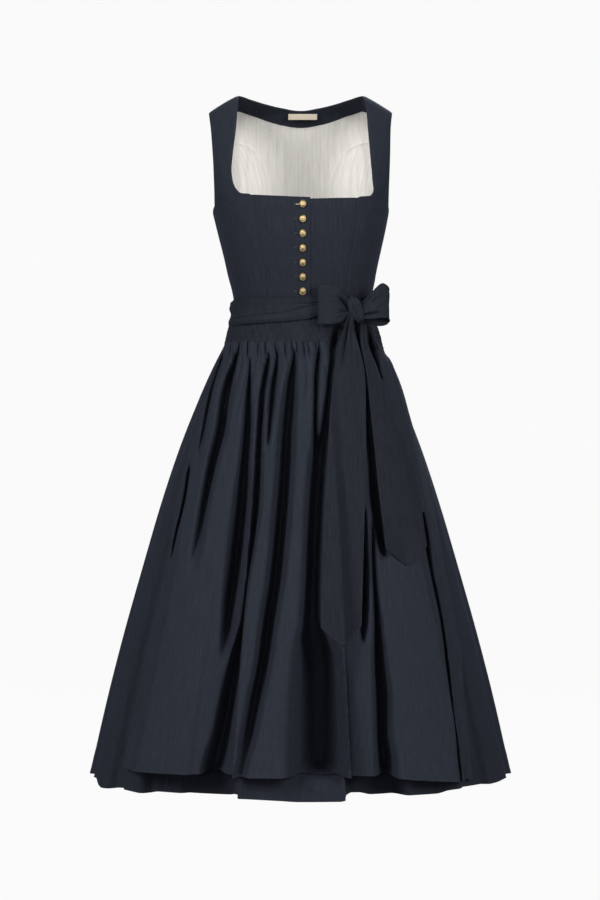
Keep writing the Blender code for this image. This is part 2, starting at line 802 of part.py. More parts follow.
def loop_grid(stations, rows=5):
    """A bow loop: a ribbon that leaves the knot, turns and comes back."""
    line = columns_of(stations)
    grid = []
    for row in range(rows):
        side = 1 - 2 * row / (rows - 1)
        points = []
        for step in range(25):
            along = step / 24
            z = line["middle"](along) + side * line["half_height"](along)
            points.append(Vector((line["x"](along), line["y"](along), z)))
        grid.append(points)
    return grid


LOOP_ON_THE_LEFT = [
    LoopStation(0.00, 105.0, -95, 15, -388),
    LoopStation(0.12, 118, -86, 22, -386),
    LoopStation(0.30, 138, -83, 30, -382),
    LoopStation(0.45, 153, -85, 33, -380),
    LoopStation(0.50, 156.5, -91, 33.5, -380),
    LoopStation(0.56, 155, -98, 33.5, -380),
    LoopStation(0.70, 140, -106, 31, -382),
    LoopStation(0.88, 118, -107, 23, -386),
    LoopStation(1.00, 105.0, -103, 15, -388),
]
LOOP_ON_THE_RIGHT = [
    LoopStation(0.00, 74.3, -97, 14, -388),
    LoopStation(0.12, 64, -110, 21, -385),
    LoopStation(0.30, 50, -114.5, 29, -381),
    LoopStation(0.43, 37, -117, 32, -379),
    LoopStation(0.50, 33, -120, 33, -379),
    LoopStation(0.57, 36, -123.5, 33, -379),
    LoopStation(0.70, 50, -125, 31, -380),
    LoopStation(0.88, 64, -118, 24, -384),
    LoopStation(1.00, 74.3, -104, 16, -388),
]


def make_loops(cloth, collection):
    sheet("bow_loop_left", loop_grid(LOOP_ON_THE_LEFT), TIE_WALL, cloth, collection)
    sheet("bow_loop_right", loop_grid(LOOP_ON_THE_RIGHT), TIE_WALL, cloth, collection)


def front_depth(x, z):
    """The y of the foremost cloth of the skirt and apron near x at this height."""
    best = 0.0
    for step in range(-40, 241):
        around = step / 240
        if apron_edges["left"](z) < around < apron_edges["right"](z):
            lift = apron_lift(around, z, 0.0) + APRON_WALL
        else:
            lift = skirt_lift(around, z) + SKIRT_WALL
        point = form_point(around, z, lift)
        if abs(point.x - x) < 9:
            best = min(best, point.y)
    return best


def tail_grid(stations, columns=6, rows=11):
    line = columns_of(stations)
    top, low = stations[0].z, stations[-1].z
    grid = []
    for number in range(rows):
        z = top + (low - top) * (number / (rows - 1)) ** 1.25
        middle, half, lift = line["x"](z), line["half_width"](z), line["lift"](z)
        row = []
        for column in range(columns + 1):
            across = 2 * column / columns - 1
            x = middle + across * half
            y = front_depth(x, min(z, GATHERS_FULL)) - lift - TAIL_STAND_OFF
            dip = TAIL_POINT * (1 - abs(across)) if number == rows - 1 else 0.0
            row.append(Vector((x, y, z - dip)))
        grid.append(row)
    return grid


def make_tails(cloth, collection):
    sheet("bow_tail_long", tail_grid(LONG_TAIL), TIE_WALL, cloth, collection)
    sheet("bow_tail_short", tail_grid(SHORT_TAIL), TIE_WALL, cloth, collection)


def main():
    clear_scene()
    collection = new_collection("dirndl")
    dress_cloth = material("dress_cloth", (0.024, 0.028, 0.040), 0.85)
    apron_cloth = material("apron_cloth", (0.030, 0.034, 0.047), 0.82)
    lining = material("lining_cloth", (0.58, 0.57, 0.54), 0.75)
    woven = material("label_cloth", (0.82, 0.74, 0.54), 0.7)
    brass = material("button_brass", (0.62, 0.43, 0.17), 0.32, 1.0)
    back_places = make_bodice(dress_cloth, collection)
    make_back_inside(lining, dress_cloth, woven, collection, back_places)
    make_buttons(brass, collection)
    make_skirt(dress_cloth, collection)
    make_apron(apron_cloth, collection)
    make_waist_ties(apron_cloth, collection)
    make_knot(apron_cloth, collection)
    make_loops(apron_cloth, collection)
    make_tails(apron_cloth, collection)


main()
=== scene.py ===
import math

import bpy
import numpy as np
from mathutils import Matrix, Vector


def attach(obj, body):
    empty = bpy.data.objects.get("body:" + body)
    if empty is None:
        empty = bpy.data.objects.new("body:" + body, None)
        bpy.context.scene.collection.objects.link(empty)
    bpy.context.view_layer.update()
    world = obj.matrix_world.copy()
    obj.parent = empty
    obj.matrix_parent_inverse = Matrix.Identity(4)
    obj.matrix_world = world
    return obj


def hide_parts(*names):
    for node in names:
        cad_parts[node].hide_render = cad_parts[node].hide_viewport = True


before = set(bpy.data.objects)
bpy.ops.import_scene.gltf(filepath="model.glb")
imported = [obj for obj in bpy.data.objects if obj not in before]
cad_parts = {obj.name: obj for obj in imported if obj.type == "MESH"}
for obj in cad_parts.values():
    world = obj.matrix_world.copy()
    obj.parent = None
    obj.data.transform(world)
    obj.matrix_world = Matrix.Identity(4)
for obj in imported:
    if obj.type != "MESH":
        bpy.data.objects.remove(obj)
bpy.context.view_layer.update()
mm = 0.001

# Heights and sizes of the dress in millimetres; the front faces -Y and the wearer's left is +X
dress = {
    "waistSeam": -386.0, "bandTop": -363.0, "bandFoot": -401.0, "shirringFoot": -443.0, "hem": -1218.0,
    "shoulderDrop": 31.0, "neckHalfWidth": 111.0, "shoulderWidth": 53.0, "backNeckDrop": 21.0,
    "overlapEdge": 16.6, "overlapNeck": -190.6, "underlapEdge": -14.0, "underlapNeck": -193.4,
    "roundness": 2.4, "skirtRoundness": 2.1,
    "bodiceWall": 1.6, "liningWall": 1.0, "skirtWall": 1.5, "apronWall": 1.3, "tieWall": 1.4,
    "layerGap": 0.35, "ringStep": 0.02, "sideFrom": 0.72, "sideFull": 0.97, "foldsOut": 12.0,
    "slopeBend": 1.15, "slopeFades": 150.0,
}


# Curves, soft steps and noise

def curveThrough(places, values):  # a smooth curve through the points that never overshoots
    x, y = np.array(places, float), np.array(values, float)
    if x[0] > x[-1]:
        x, y = x[::-1], y[::-1]
    step = np.diff(x)
    slope = np.diff(y) / step
    turn = np.zeros(len(x))
    turn[0], turn[-1] = slope[0], slope[-1]
    for i in range(1, len(x) - 1):
        if slope[i - 1] * slope[i] > 0:
            near, far = 2 * step[i] + step[i - 1], step[i] + 2 * step[i - 1]
            turn[i] = (near + far) / (near / slope[i - 1] + far / slope[i])

    def value(at):
        at = np.clip(at, x[0], x[-1])
        i = np.clip(np.searchsorted(x, at, side="right") - 1, 0, len(x) - 2)
        h = step[i]
        s = (at - x[i]) / h
        rise = (1 + 2 * s) * (1 - s) ** 2 * y[i] + s * s * (3 - 2 * s) * y[i + 1]
        return rise + s * (1 - s) ** 2 * h * turn[i] + s * s * (s - 1) * h * turn[i + 1]

    return value


def columns(names, rows):  # one smooth curve for each named column, along the first one
    data = np.array(rows, float)
    return {name: curveThrough(data[:, 0], data[:, i + 1]) for i, name in enumerate(names.split())}


def ease(value, low, high):
    share = np.clip((value - low) / (high - low), 0.0, 1.0)
    return share * share * (3 - 2 * share)


def window(value, start, full, fade, end):  # rises from start to full and falls again from fade to end
    return ease(value, start, full) * (1 - ease(value, fade, end))


def pleat(turns, power):  # rounded crests and sharp valleys, one of each to a turn
    return np.abs(np.cos(math.pi * turns)) ** power


def bump(value, middle, width):
    return np.exp(-((value - middle) / width) ** 2)


def placed(*coordinates):  # points from their coordinates, each a number or a grid
    return np.stack(np.broadcast_arrays(*coordinates), -1)


noiseCells = 64


def softNoise(u, v, seed):  # smooth noise from -1 to 1, one cell to each unit
    lattice = np.random.RandomState(seed).uniform(-1, 1, (noiseCells, noiseCells))
    u, v = np.broadcast_arrays(u, v)
    iu, iv = np.floor(u).astype(int), np.floor(v).astype(int)
    su, sv = ease(u - iu, 0, 1), ease(v - iv, 0, 1)

    def corner(a, b):
        return lattice[(iu + a) % noiseCells, (iv + b) % noiseCells]

    low = corner(0, 0) * (1 - su) + corner(1, 0) * su
    high = corner(0, 1) * (1 - su) + corner(1, 1) * su
    return low * (1 - sv) + high * sv


# The forms that the cloth lies on

bodice = columns("down halfWidth front back", [
    (0, 0, 187, 0, 0), (25, -5, 187, 23, 25), (50, -13, 187, 42, 49), (78, -27, 186, 59, 68),
    (106, -49, 185, 74, 80), (138, -79, 182.5, 88, 88), (172, -113, 178, 100, 93),
    (210, -150, 171, 111, 97), (245, -185, 162.5, 119, 98.5), (274, -214, 155.6, 122, 98),
    (310, -250, 147.6, 121, 96), (350, -290, 138, 115, 93), (390, -330, 129.6, 107, 89),
    (425, -362, 122.5, 100, 86), (450, -386, 119.8, 96, 84),
])
leans = curveThrough(  # how far the middle of the dress leans to the wearer's left, by height
    [-1218, -555, -500, -446, -400, -345, -320, -250, -180, 0], [0, 0, 1, 2.4, 3.4, 3.4, 2.4, 1.6, 0, 0])
bodiceRun = 450.0
runSamples = np.linspace(0, bodiceRun, 900)
downSamples = bodice["down"](runSamples)

skirt = columns("halfWidth front back", [
    (-386.5, 119.5, 93.5, 81.5), (-402, 121, 95, 83.5), (-419, 124, 101, 92), (-446, 132.5, 111, 105),
    (-473, 145.5, 120, 116), (-500, 158.5, 129, 127), (-554, 182, 144, 146), (-635, 214, 164, 172),
    (-743, 250, 184, 204), (-851, 281, 200, 231), (-959, 311, 212, 254), (-1067, 338, 222, 273),
    (-1218, 372, 232, 294),
])


def wrapped(around):  # the place around counted from -2 to 2: 0 front, 1 left side, 2 back
    return (around + 2) % 4 - 2


def ring(form, around, at, roundness, out=0.0):  # the level outline of a form
    around = wrapped(around)
    turned = np.abs(around)
    depth = np.where(turned > 1, form["back"](at) + out, -(form["front"](at) + out))
    angle = np.where(turned > 1, 2 - turned, turned) * math.pi / 2
    x = (form["halfWidth"](at) + out) * np.maximum(np.sin(angle), 0) ** (2 / roundness)
    y = depth * np.maximum(np.cos(angle), 0) ** (2 / roundness)
    return np.copysign(x, around), y


def shoulderSlope(x, down):
    outward = np.maximum(np.abs(x) - dress["neckHalfWidth"], 0) / dress["shoulderWidth"]
    fade = np.maximum(1 + down / dress["slopeFades"], 0)
    return -dress["shoulderDrop"] * outward ** dress["slopeBend"] * fade


def bodiceBase(around, run):
    x, y = ring(bodice, around, run, dress["roundness"])
    down = bodice["down"](run)
    return placed(x + leans(down), y, down + shoulderSlope(x, down))


def unit(vectors):
    return vectors / np.maximum(np.linalg.norm(vectors, axis=-1, keepdims=True), 1e-9)


def bodiceNormal(around, run):
    down = bodiceBase(around, run + 2.0) - bodiceBase(around, np.maximum(run - 2.0, 0.5))
    low = np.maximum(run, 0.5)
    side = bodiceBase(around + 0.01, low) - bodiceBase(around - 0.01, low)
    return unit(np.cross(down, side))


def bodicePoint(around, run, out):
    return bodiceBase(around, run) + bodiceNormal(around, run) * np.asarray(out)[..., None]


def bodicePlace(x, z, back=False):  # the place on the bodice that is seen at x, z
    x, z = np.broadcast_arrays(np.asarray(x, float), np.asarray(z, float))
    down = z
    for _ in range(12):
        down = np.minimum(z - shoulderSlope(x, down), 0.0)
    run = np.interp(-down, -downSamples, runSamples)
    x = np.where(np.abs(x) > 0, x - leans(down), x)
    share = np.clip(np.abs(x / bodice["halfWidth"](run)), 0, 1) ** (dress["roundness"] / 2)
    around = np.copysign(np.arcsin(share) * 2 / math.pi, x)
    return (np.copysign(2 - np.abs(around), x) if back else around), run


def skirtForm(around, z, lift, ahead=0.0):
    # a point of the skirt's form, moved out level by lift, and towards the front by ahead
    step = dress["ringStep"]
    (x, y), (nextX, nextY), (lastX, lastY) = (
        ring(skirt, place, z, dress["skirtRoundness"]) for place in (around, around + step, around - step))
    alongX, alongY = nextX - lastX, nextY - lastY
    size = np.hypot(alongX, alongY)
    outX, outY = alongY / size, -alongX / size
    # The sides move along their own normal
    side = ease(np.abs(wrapped(around)), dress["sideFrom"], dress["sideFull"])
    toX, toY = outX * side, outY * side - (1 - side)
    ahead = ahead / np.hypot(toX, toY)
    return placed(x + outX * lift + toX * ahead + leans(z), y + outY * lift + toY * ahead, z)


def seenX(around, z):  # x of the skirt's cloth there, near enough to find the apron's valleys
    return skirtForm(around, z, dress["foldsOut"])[..., 0]


# Cloth pieces

def deselect():
    bpy.ops.object.select_all(action="DESELECT")


def applied(piece, kind, **settings):  # adds a modifier, sets it and applies it
    deselect()
    piece.select_set(True)
    bpy.context.view_layer.objects.active = piece
    modifier = piece.modifiers.new(kind.title(), kind)
    for name, value in settings.items():
        setattr(modifier, name, value)
    bpy.ops.object.modifier_apply(modifier=modifier.name)


def vertexPlaces(mesh):
    flat = np.empty(len(mesh.vertices) * 3)
    mesh.vertices.foreach_get("co", flat)
    return flat.reshape(-1, 3)


def moveVertices(mesh, places):  # places in millimetres
    mesh.vertices.foreach_set("co", (places * mm).ravel())
    mesh.update()


def cornerVertices(mesh):
    corner = np.empty(len(mesh.loops), int)
    mesh.loops.foreach_get("vertex_index", corner)
    return corner


def layFlat(mesh, places):  # the UV map: each corner's place on the flat cut, in metres
    mesh.uv_layers[0].data.foreach_set("uv", places.ravel())


def walk(points, axis):  # distance along the rows or columns of a grid of points
    steps = np.linalg.norm(np.diff(points, axis=axis), axis=-1)
    return np.concatenate((np.zeros_like(np.take(steps, [0], axis)), np.cumsum(steps, axis)), axis)


def cloth(name, points, wall, finish, weave=None):
    # points is rows by columns by 3, top row first; weave is the place of each point on the flat cut
    rows, across = points.shape[:2]
    deselect()
    bpy.ops.mesh.primitive_grid_add(x_subdivisions=across - 1, y_subdivisions=rows - 1, size=2)
    piece = bpy.context.active_object
    piece.name = piece.data.name = name
    mesh = piece.data
    flat = vertexPlaces(mesh)
    column = np.rint((flat[:, 0] + 1) / 2 * (across - 1)).astype(int)
    row = np.rint((1 - flat[:, 1]) / 2 * (rows - 1)).astype(int)
    moveVertices(mesh, points[row, column])
    if weave is None:
        u, v = walk(points, 1), walk(points, 0)
        weave = placed(u - u[:, -1:] / 2, v)
    corner = cornerVertices(mesh)
    layFlat(mesh, weave[row[corner], column[corner]] * mm)
    applied(piece, "SOLIDIFY", thickness=wall * mm, offset=1.0, use_quality_normals=True)
    bpy.ops.object.shade_smooth_by_angle(angle=math.radians(60))
    mesh.materials.append(finish)
    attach(piece, "root")
    return piece


def standFor(piece, slot, *nodes):
    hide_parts(*nodes)


def meshArea(piece):
    return sum(face.area for face in piece.data.polygons) / 2


# Shader building

class Wire:  # a number socket that Python arithmetic works on
    def __init__(self, graph, socket):
        self.graph, self.socket = graph, socket

    def __add__(self, other):
        return self.graph.maths("ADD", self, other)

    def __sub__(self, other):
        return self.graph.maths("SUBTRACT", self, other)

    def __mul__(self, other):
        return self.graph.maths("MULTIPLY", self, other)


class Finish:  # one material and the calls that fill its tree
    def __init__(self, name):
        self.material = bpy.data.materials.new(name)
        self.material.use_nodes = True
        self.tree = self.material.node_tree
        self.tree.nodes.clear()

    def node(self, kind, sockets=None, **settings):
        made = self.tree.nodes.new(kind)
        for name, value in settings.items():
            setattr(made, name, value)
        for name, value in (sockets or {}).items():
            value = value.socket if isinstance(value, Wire) else value
            if isinstance(value, bpy.types.NodeSocket):
                self.tree.links.new(value, made.inputs[name])
            else:
                made.inputs[name].default_value = value
        return made

    def maths(self, operation, *values):
        made = self.node("ShaderNodeMath", dict(enumerate(values)), operation=operation)
        return Wire(self, made.outputs[0])

    def mix(self, factor, first, second):  # two colours
        made = self.node("ShaderNodeMix", {0: factor, 6: first, 7: second}, data_type="RGBA")
        return made.outputs[2]

    def noise(self, vector, scale, detail=2.0, roughness=0.5):
        made = self.node("ShaderNodeTexNoise", {
            "Vector": vector, "Scale": scale, "Detail": detail, "Roughness": roughness})
        return Wire(self, made.outputs[0])

    def stretched(self, vector, scale):
        return self.node("ShaderNodeMapping", {"Vector": vector, "Scale": scale}).outputs[0]

    def objectPlace(self):
        return self.node("ShaderNodeTexCoord").outputs["Object"]

    def cutPlace(self):  # the UV map, whose unit is a metre of the flat cut
        uv = self.node("ShaderNodeUVMap").outputs[0]
        split = self.node("ShaderNodeSeparateXYZ", {0: uv})
        return uv, Wire(self, split.outputs[0]), Wire(self, split.outputs[1])

    def raised(self, height, strength, distance):
        sockets = {"Strength": strength, "Distance": distance, "Height": height}
        return self.node("ShaderNodeBump", sockets).outputs[0]

    def surface(self, sockets):
        shader = self.node("ShaderNodeBsdfPrincipled", sockets)
        self.node("ShaderNodeOutputMaterial", {0: shader.outputs[0]})
        return self.material


herringbone = {"stripeWidth": 0.0104, "linePitch": 0.0042, "steepness": 1.75, "slubs": (640, 22, 1)}


def woolFinish(name, shadow, body, light, sheen, roughness):
    # navy herringbone: zigzag twill lines, slubs that run down the cloth, a cloudy dye
    f = Finish(name)
    uv, u, v = f.cutPlace()
    zigzag = f.maths("PINGPONG", u, herringbone["stripeWidth"]) * herringbone["steepness"]
    line = f.maths("SINE", (v + zigzag) * (2 * math.pi / herringbone["linePitch"])) * 0.5 + 0.5
    slub = f.noise(f.stretched(uv, herringbone["slubs"]), 1.0, 3.0, 0.6)
    fleck = f.noise(uv, 900.0, 2.0, 0.7)
    cloud = f.noise(f.stretched(uv, (7, 4, 1)), 1.0, 3.0, 0.55)
    patch = f.noise(uv, 95.0, 2.0, 0.6)  # where the weave shows more or less
    tone = line * (patch * 0.5 + 0.02) + (slub - 0.5) * 0.9 + (fleck - 0.5) * 0.55 + 0.34
    ground = f.mix(cloud, shadow, body)
    colour = f.mix(f.maths("MINIMUM", f.maths("MAXIMUM", tone * 1.05 - 0.20, 0.0), 1.0), ground, light)
    height = line * 0.5 + slub * 0.7 + fleck * 0.4
    return f.surface({
        "Base Color": colour, "Roughness": roughness, "Normal": f.raised(height, 0.35, 0.0006),
        "Sheen Weight": sheen, "Sheen Roughness": 0.45, "Sheen Tint": (0.55, 0.66, 1.0, 1.0),
        "Specular IOR Level": 0.10,
    })


def liningFinish():
    f = Finish("paleLining")
    uv = f.cutPlace()[0]
    slub = f.noise(f.stretched(uv, (900, 30, 1)), 1.0, 3.0, 0.6)
    streak = f.noise(f.stretched(uv, (260, 8, 1)), 1.0, 3.0, 0.6)
    cloud = f.noise(uv, 14.0, 3.0, 0.5)
    tone = (slub * 0.4 + streak * 0.6 - 0.5) * 2.0 + cloud * 0.4 + 0.3
    colour = f.mix(tone, (0.455, 0.435, 0.402, 1), (0.665, 0.645, 0.608, 1))
    return f.surface({
        "Base Color": colour, "Roughness": 0.72, "Normal": f.raised(slub + streak * 2.0, 0.4, 0.0006),
        "Sheen Weight": 0.12, "Specular IOR Level": 0.3,
    })


def labelFinish():
    f = Finish("creamWovenLabel")
    uv, _, v = f.cutPlace()
    ribPitch = 0.0011
    rib = f.maths("SINE", v * (2 * math.pi / ribPitch)) * 0.5 + 0.5
    fleck = f.noise(uv, 1500.0, 2.0)
    colour = f.mix(rib * 0.35 + fleck * 0.5, (0.32, 0.27, 0.195, 1), (0.435, 0.395, 0.315, 1))
    return f.surface({
        "Base Color": colour, "Roughness": 0.6, "Normal": f.raised(rib, 0.3, 0.0002), "Sheen Weight": 0.1,
    })


def brassFinish():
    f = Finish("paleGoldButton")
    uv, u, v = f.cutPlace()
    reach = f.maths("SQRT", u * u + v * v) * 1000.0  # mm from the button's middle
    grime = f.noise(uv, 1400.0, 4.0, 0.6)
    worn = f.noise(uv, 420.0, 2.0, 0.5)
    grooveAt = 4.9
    groove = f.maths("SMOOTH_MIN", 1.0, f.maths("ABSOLUTE", reach - grooveAt) * 2.2, 0.2)
    tone = f.maths("MINIMUM", groove * (worn * 0.7 + 0.55), 1.0)
    colour = f.mix(tone, (0.09, 0.055, 0.020, 1), (0.45, 0.345, 0.175, 1))
    return f.surface({
        "Base Color": colour, "Metallic": 1.0, "Roughness": grime * 0.28 + 0.30,
        "Normal": f.raised(grime, 0.2, 0.0002),
    })


def threadFinish(name, first, second):
    f = Finish(name)
    twist = f.noise(f.objectPlace(), 2600.0, 2.0, 0.6)
    colour = f.mix(twist, first, second)
    return f.surface({
        "Base Color": colour, "Roughness": 0.55, "Sheen Weight": 0.2,
        "Normal": f.raised(twist, 0.3, 0.0001),
    })


finishes = {
    "dress": woolFinish("navyDressCloth", (0.0062, 0.0076, 0.0120, 1), (0.0112, 0.0134, 0.0195, 1),
                        (0.0300, 0.0350, 0.0470, 1), 0.085, 0.85),
    # A lighter copy of the dress cloth, about a seventh brighter, for the skirt: painted light on the same
    # cloth as the bodice
    "skirt": woolFinish("navyDressClothPaintedLighter", (0.0071, 0.0087, 0.0137, 1), (0.0128, 0.0153, 0.0223, 1),
                        (0.0344, 0.0400, 0.0538, 1), 0.085, 0.85),
    "apron": woolFinish("navyApronCloth", (0.0094, 0.0113, 0.0169, 1), (0.0132, 0.0158, 0.0230, 1),
                        (0.0404, 0.0479, 0.0649, 1), 0.04, 0.82),
    # A darker copy of the apron's cloth, about three quarters as bright, for the shirring, waistband, ties
    # and bow: painted shade
    "tie": woolFinish("navyApronClothPaintedDarker", (0.0070, 0.0086, 0.0121, 1), (0.0097, 0.0118, 0.0164, 1),
                      (0.0290, 0.0352, 0.0458, 1), 0.03, 0.84),
    "lining": liningFinish(),
    "label": labelFinish(),
    "brass": brassFinish(),
    "thread": threadFinish("navyThread", (0.009, 0.010, 0.016, 1), (0.020, 0.024, 0.034, 1)),
    "paleThread": threadFinish("paleThread", (0.50, 0.36, 0.28, 1), (0.74, 0.60, 0.48, 1)),
}
print("finishes made")


# Bodice panels, edge tables as row, x, z of each seam seen from the front

edges = {
    "frontRightInner": [
        (0, -110.7, 0), (1, -111.2, -12), (2, -112, -32), (3, -114.5, -66), (4, -119, -104),
        (5, -122, -138), (6, -120, -158), (7, -113, -174), (8, -103, -182.6), (9, -87, -184.8),
        (11, -79, -243), (13, -64.5, -301), (16, -60, -386)],
    "frontLeftInner": [
        (0, 111.5, 0), (1, 114, -12), (2, 117, -32), (3, 119.5, -66), (4, 122.5, -104), (5, 125.5, -138),
        (6, 127.5, -160), (7, 129, -174), (8, 122, -186.0), (9, 101, -189.8), (11, 97, -243),
        (13, 86, -301), (16, 78, -386)],
    "armholeFront": [
        (0, 164, -31), (1, 162, -42), (2, 160, -60), (3, 159, -86), (4, 158.4, -113), (5, 157.6, -138),
        (6, 157, -156), (7, 156.6, -171), (8, 156.4, -186), (9, 156.2, -201)],
    "armholeBack": [
        (0, 164, -31), (1, 162, -43), (2, 160, -58), (3, 158.5, -82), (4, 157.5, -104), (5, 157, -123),
        (6, 156.6, -141), (7, 156.3, -158), (8, 156, -176), (9, 156, -196)],
    "shoulderBack": [(0, 164, -31), (1, 162, -43), (2, 160, -58), (3, 158.6, -74)],
    "sideSeam": [(10, 0, -214), (11, 0, -243), (13, 0, -301), (16, 0, -386)],
    "backSeam": [
        (3, 158.6, -74), (4, 128, -76), (5, 103, -81), (6, 84, -93), (7, 71, -114), (8, 60, -138),
        (9, 51, -164), (11, 43, -222), (13, 38, -290), (16, 35, -386)],
}
seamLines = {name: columns("x z", rows) for name, rows in edges.items()}
rowsOf = {"seamStart": 3, "yokeFoot": 7, "neck": 9, "underarm": 10, "waist": 16}
bodiceRows = np.linspace(0, rowsOf["waist"], 113)
seams = {
    "roll": 0.95, "rollWidth": 2.6, "edgeRoll": 0.5, "edgeWidth": 2.0, "deeperRightArmhole": 4.0,
    "pucker": 0.42, "puckerReach": 34.0, "puckerPitch": 3.4, "puckerLength": 26.0,
    "wave": 0.22, "waveAcross": 21.0, "waveDown": 34.0, "leastAreaShare": 0.3,
    "welt": 0.75, "weltAt": 2.4, "weltWidth": 1.5, "line": 0.5, "lineAt": 5.6, "lineWidth": 1.0,
}


def edgePlace(name, row, mirrored=False, back=False, deeper=0.0):
    line = seamLines[name]
    x = line["x"](row) - deeper * ease(row, 1, 5)
    return placed(*bodicePlace(-x if mirrored else x, line["z"](row), back))


def sidePlace(name, row, leftSide, back=False):  # the armhole's edge, then the side seam
    deeper = 0.0 if leftSide else seams["deeperRightArmhole"]
    armhole = edgePlace(name, np.minimum(row, rowsOf["neck"]), not leftSide, back, deeper)
    z = seamLines["sideSeam"]["z"](np.maximum(row, rowsOf["underarm"]))
    seam = placed(1.0 if leftSide else -1.0, bodicePlace(0, z)[1])
    share = np.clip(row - rowsOf["neck"], 0, 1)[:, None]
    return armhole * (1 - share) + seam * share


def between(left, right, count):  # rows of places from one edge to the other
    share = np.linspace(0, 1, count)[None, :, None]
    return left[:, None] * (1 - share) + right[:, None] * share


def bodicePanel(name, node, places, out=0.0, wall=None, finish="dress",
                puckerSides=(), seamSides=(), extra=None):
    around, run = places[..., 0], places[..., 1]
    base = bodicePoint(around, run, np.zeros(around.shape))
    fromLeft, fromTop = walk(base, 1), walk(base, 0)
    gap = {"left": fromLeft, "right": fromLeft[:, -1:] - fromLeft,
           "top": fromTop, "bottom": fromTop[-1:] - fromTop}
    lift = np.full(around.shape, float(out))
    for side, distance in gap.items():
        depth, width = ("roll", "rollWidth") if side in seamSides else ("edgeRoll", "edgeWidth")
        lift = lift - seams[depth] * np.exp(-(distance / seams[width]) ** 2)
    z = base[..., 2]
    for side in puckerSides:  # short upright puckers that the seam's thread draws up
        near = ease(gap[side], seams["puckerReach"], 6) * ease(-z, 222, 262) * ease(-z, 392, 330)
        drawn = softNoise(gap[side] / seams["puckerPitch"], z / seams["puckerLength"], 5)
        lift = lift + seams["pucker"] * near * drawn
    wave = softNoise(fromLeft / seams["waveAcross"], fromTop / seams["waveDown"], len(name))
    lift = lift + seams["wave"] * wave
    if extra:
        lift = lift + extra(base, gap)
    points = base + bodiceNormal(around, run) * lift[..., None]
    middle = fromLeft - fromLeft[:, -1:] / 2
    piece = cloth(name, points, wall or dress["bodiceWall"], finishes[finish], placed(middle, run))
    standFor(piece, finish + "_cloth", node)
    size = [middle.max() * 2 * mm, (run.max() - run.min()) * mm]
    whole = size[0] * size[1]
    min(max(meshArea(piece), seams["leastAreaShare"] * whole), whole)


def overlapRamp(base, gap):  # the buttonhole side climbs over the button side
    edge = dress["underlapEdge"]
    climb = (dress["bodiceWall"] + dress["layerGap"]) * ease(base[..., 0], edge - 50, edge - 16)
    welt = seams["welt"] * bump(gap["right"], seams["weltAt"], seams["weltWidth"])
    return climb + welt - seams["line"] * bump(gap["right"], seams["lineAt"], seams["lineWidth"])


lining = {
    "crease": 2.3, "creasePitch": 9.5, "creaseLength": 120.0,
    "fine": 1.3, "finePitch": 4.2, "fineLength": 38.0, "bend": 14.0, "across": 0.35,
    "seamAt": 22.0, "seamDip": 0.48, "seamWidth": 1.6,
    "facingRow": 1.0, "facingDrop": 0.70, "facingCorner": 5.0,
}


def makeFront():
    belowNeck = bodiceRows >= rowsOf["neck"]
    low = bodiceRows[belowNeck]
    rightInner, leftInner = (edgePlace(name, bodiceRows) for name in ("frontRightInner", "frontLeftInner"))
    rightOuter, leftOuter = (sidePlace("armholeFront", bodiceRows, side) for side in (False, True))
    bodicePanel("sideFrontRightCloth", "side_front_right", between(rightOuter, rightInner, 44),
                puckerSides=("right",), seamSides=("left", "right", "top"))
    bodicePanel("sideFrontLeftCloth", "side_front_left", between(leftInner, leftOuter, 44),
                puckerSides=("left",), seamSides=("left", "right", "top"))

    def frontEdge(x, seam, neckZ):  # the placket's edge; its rows keep the seam's heights
        z = seamLines[seam]["z"](low)
        z = np.where(low < rowsOf["neck"] + 0.01, neckZ, z + (neckZ - z[0]) * ease(low, 11, 9))
        return placed(*bodicePlace(x, z))

    overlap = frontEdge(dress["overlapEdge"], "frontRightInner", dress["overlapNeck"])
    underlap = frontEdge(dress["underlapEdge"], "frontLeftInner", dress["underlapNeck"])
    bodicePanel("frontRightCloth", "front_right", between(rightInner[belowNeck], overlap, 72),
                seamSides=("left",), extra=overlapRamp)
    bodicePanel("frontLeftCloth", "front_left", between(underlap, leftInner[belowNeck], 72),
                seamSides=("right",))


# The back neckline from one shoulder's outer end to the middle, then rules for the rows of the yoke
neckLine = {"x": [164, 138, dress["neckHalfWidth"], 90, 60, 30, 0],
            "z": [-31, -13.5, -0.8, -5, -11.8, -17.4, -dress["backNeckDrop"]]}
yoke = {
    "hang": curveThrough([0, 1, 2, 3, 4, 5, 6, 7, 8, 16], [0, 0, -3, -6, -18, -18, -14, -8, 0, 0]),
    "followsNeck": curveThrough([0, 1, 2, 3, 4, 16], [1, 0.375, 0.05, 0, 0, 0]),
    "followsFacing": curveThrough([0, 1, 2, 3, 4, 16], [1.2, 1, 0.45, 0.12, 0, 0]),
}


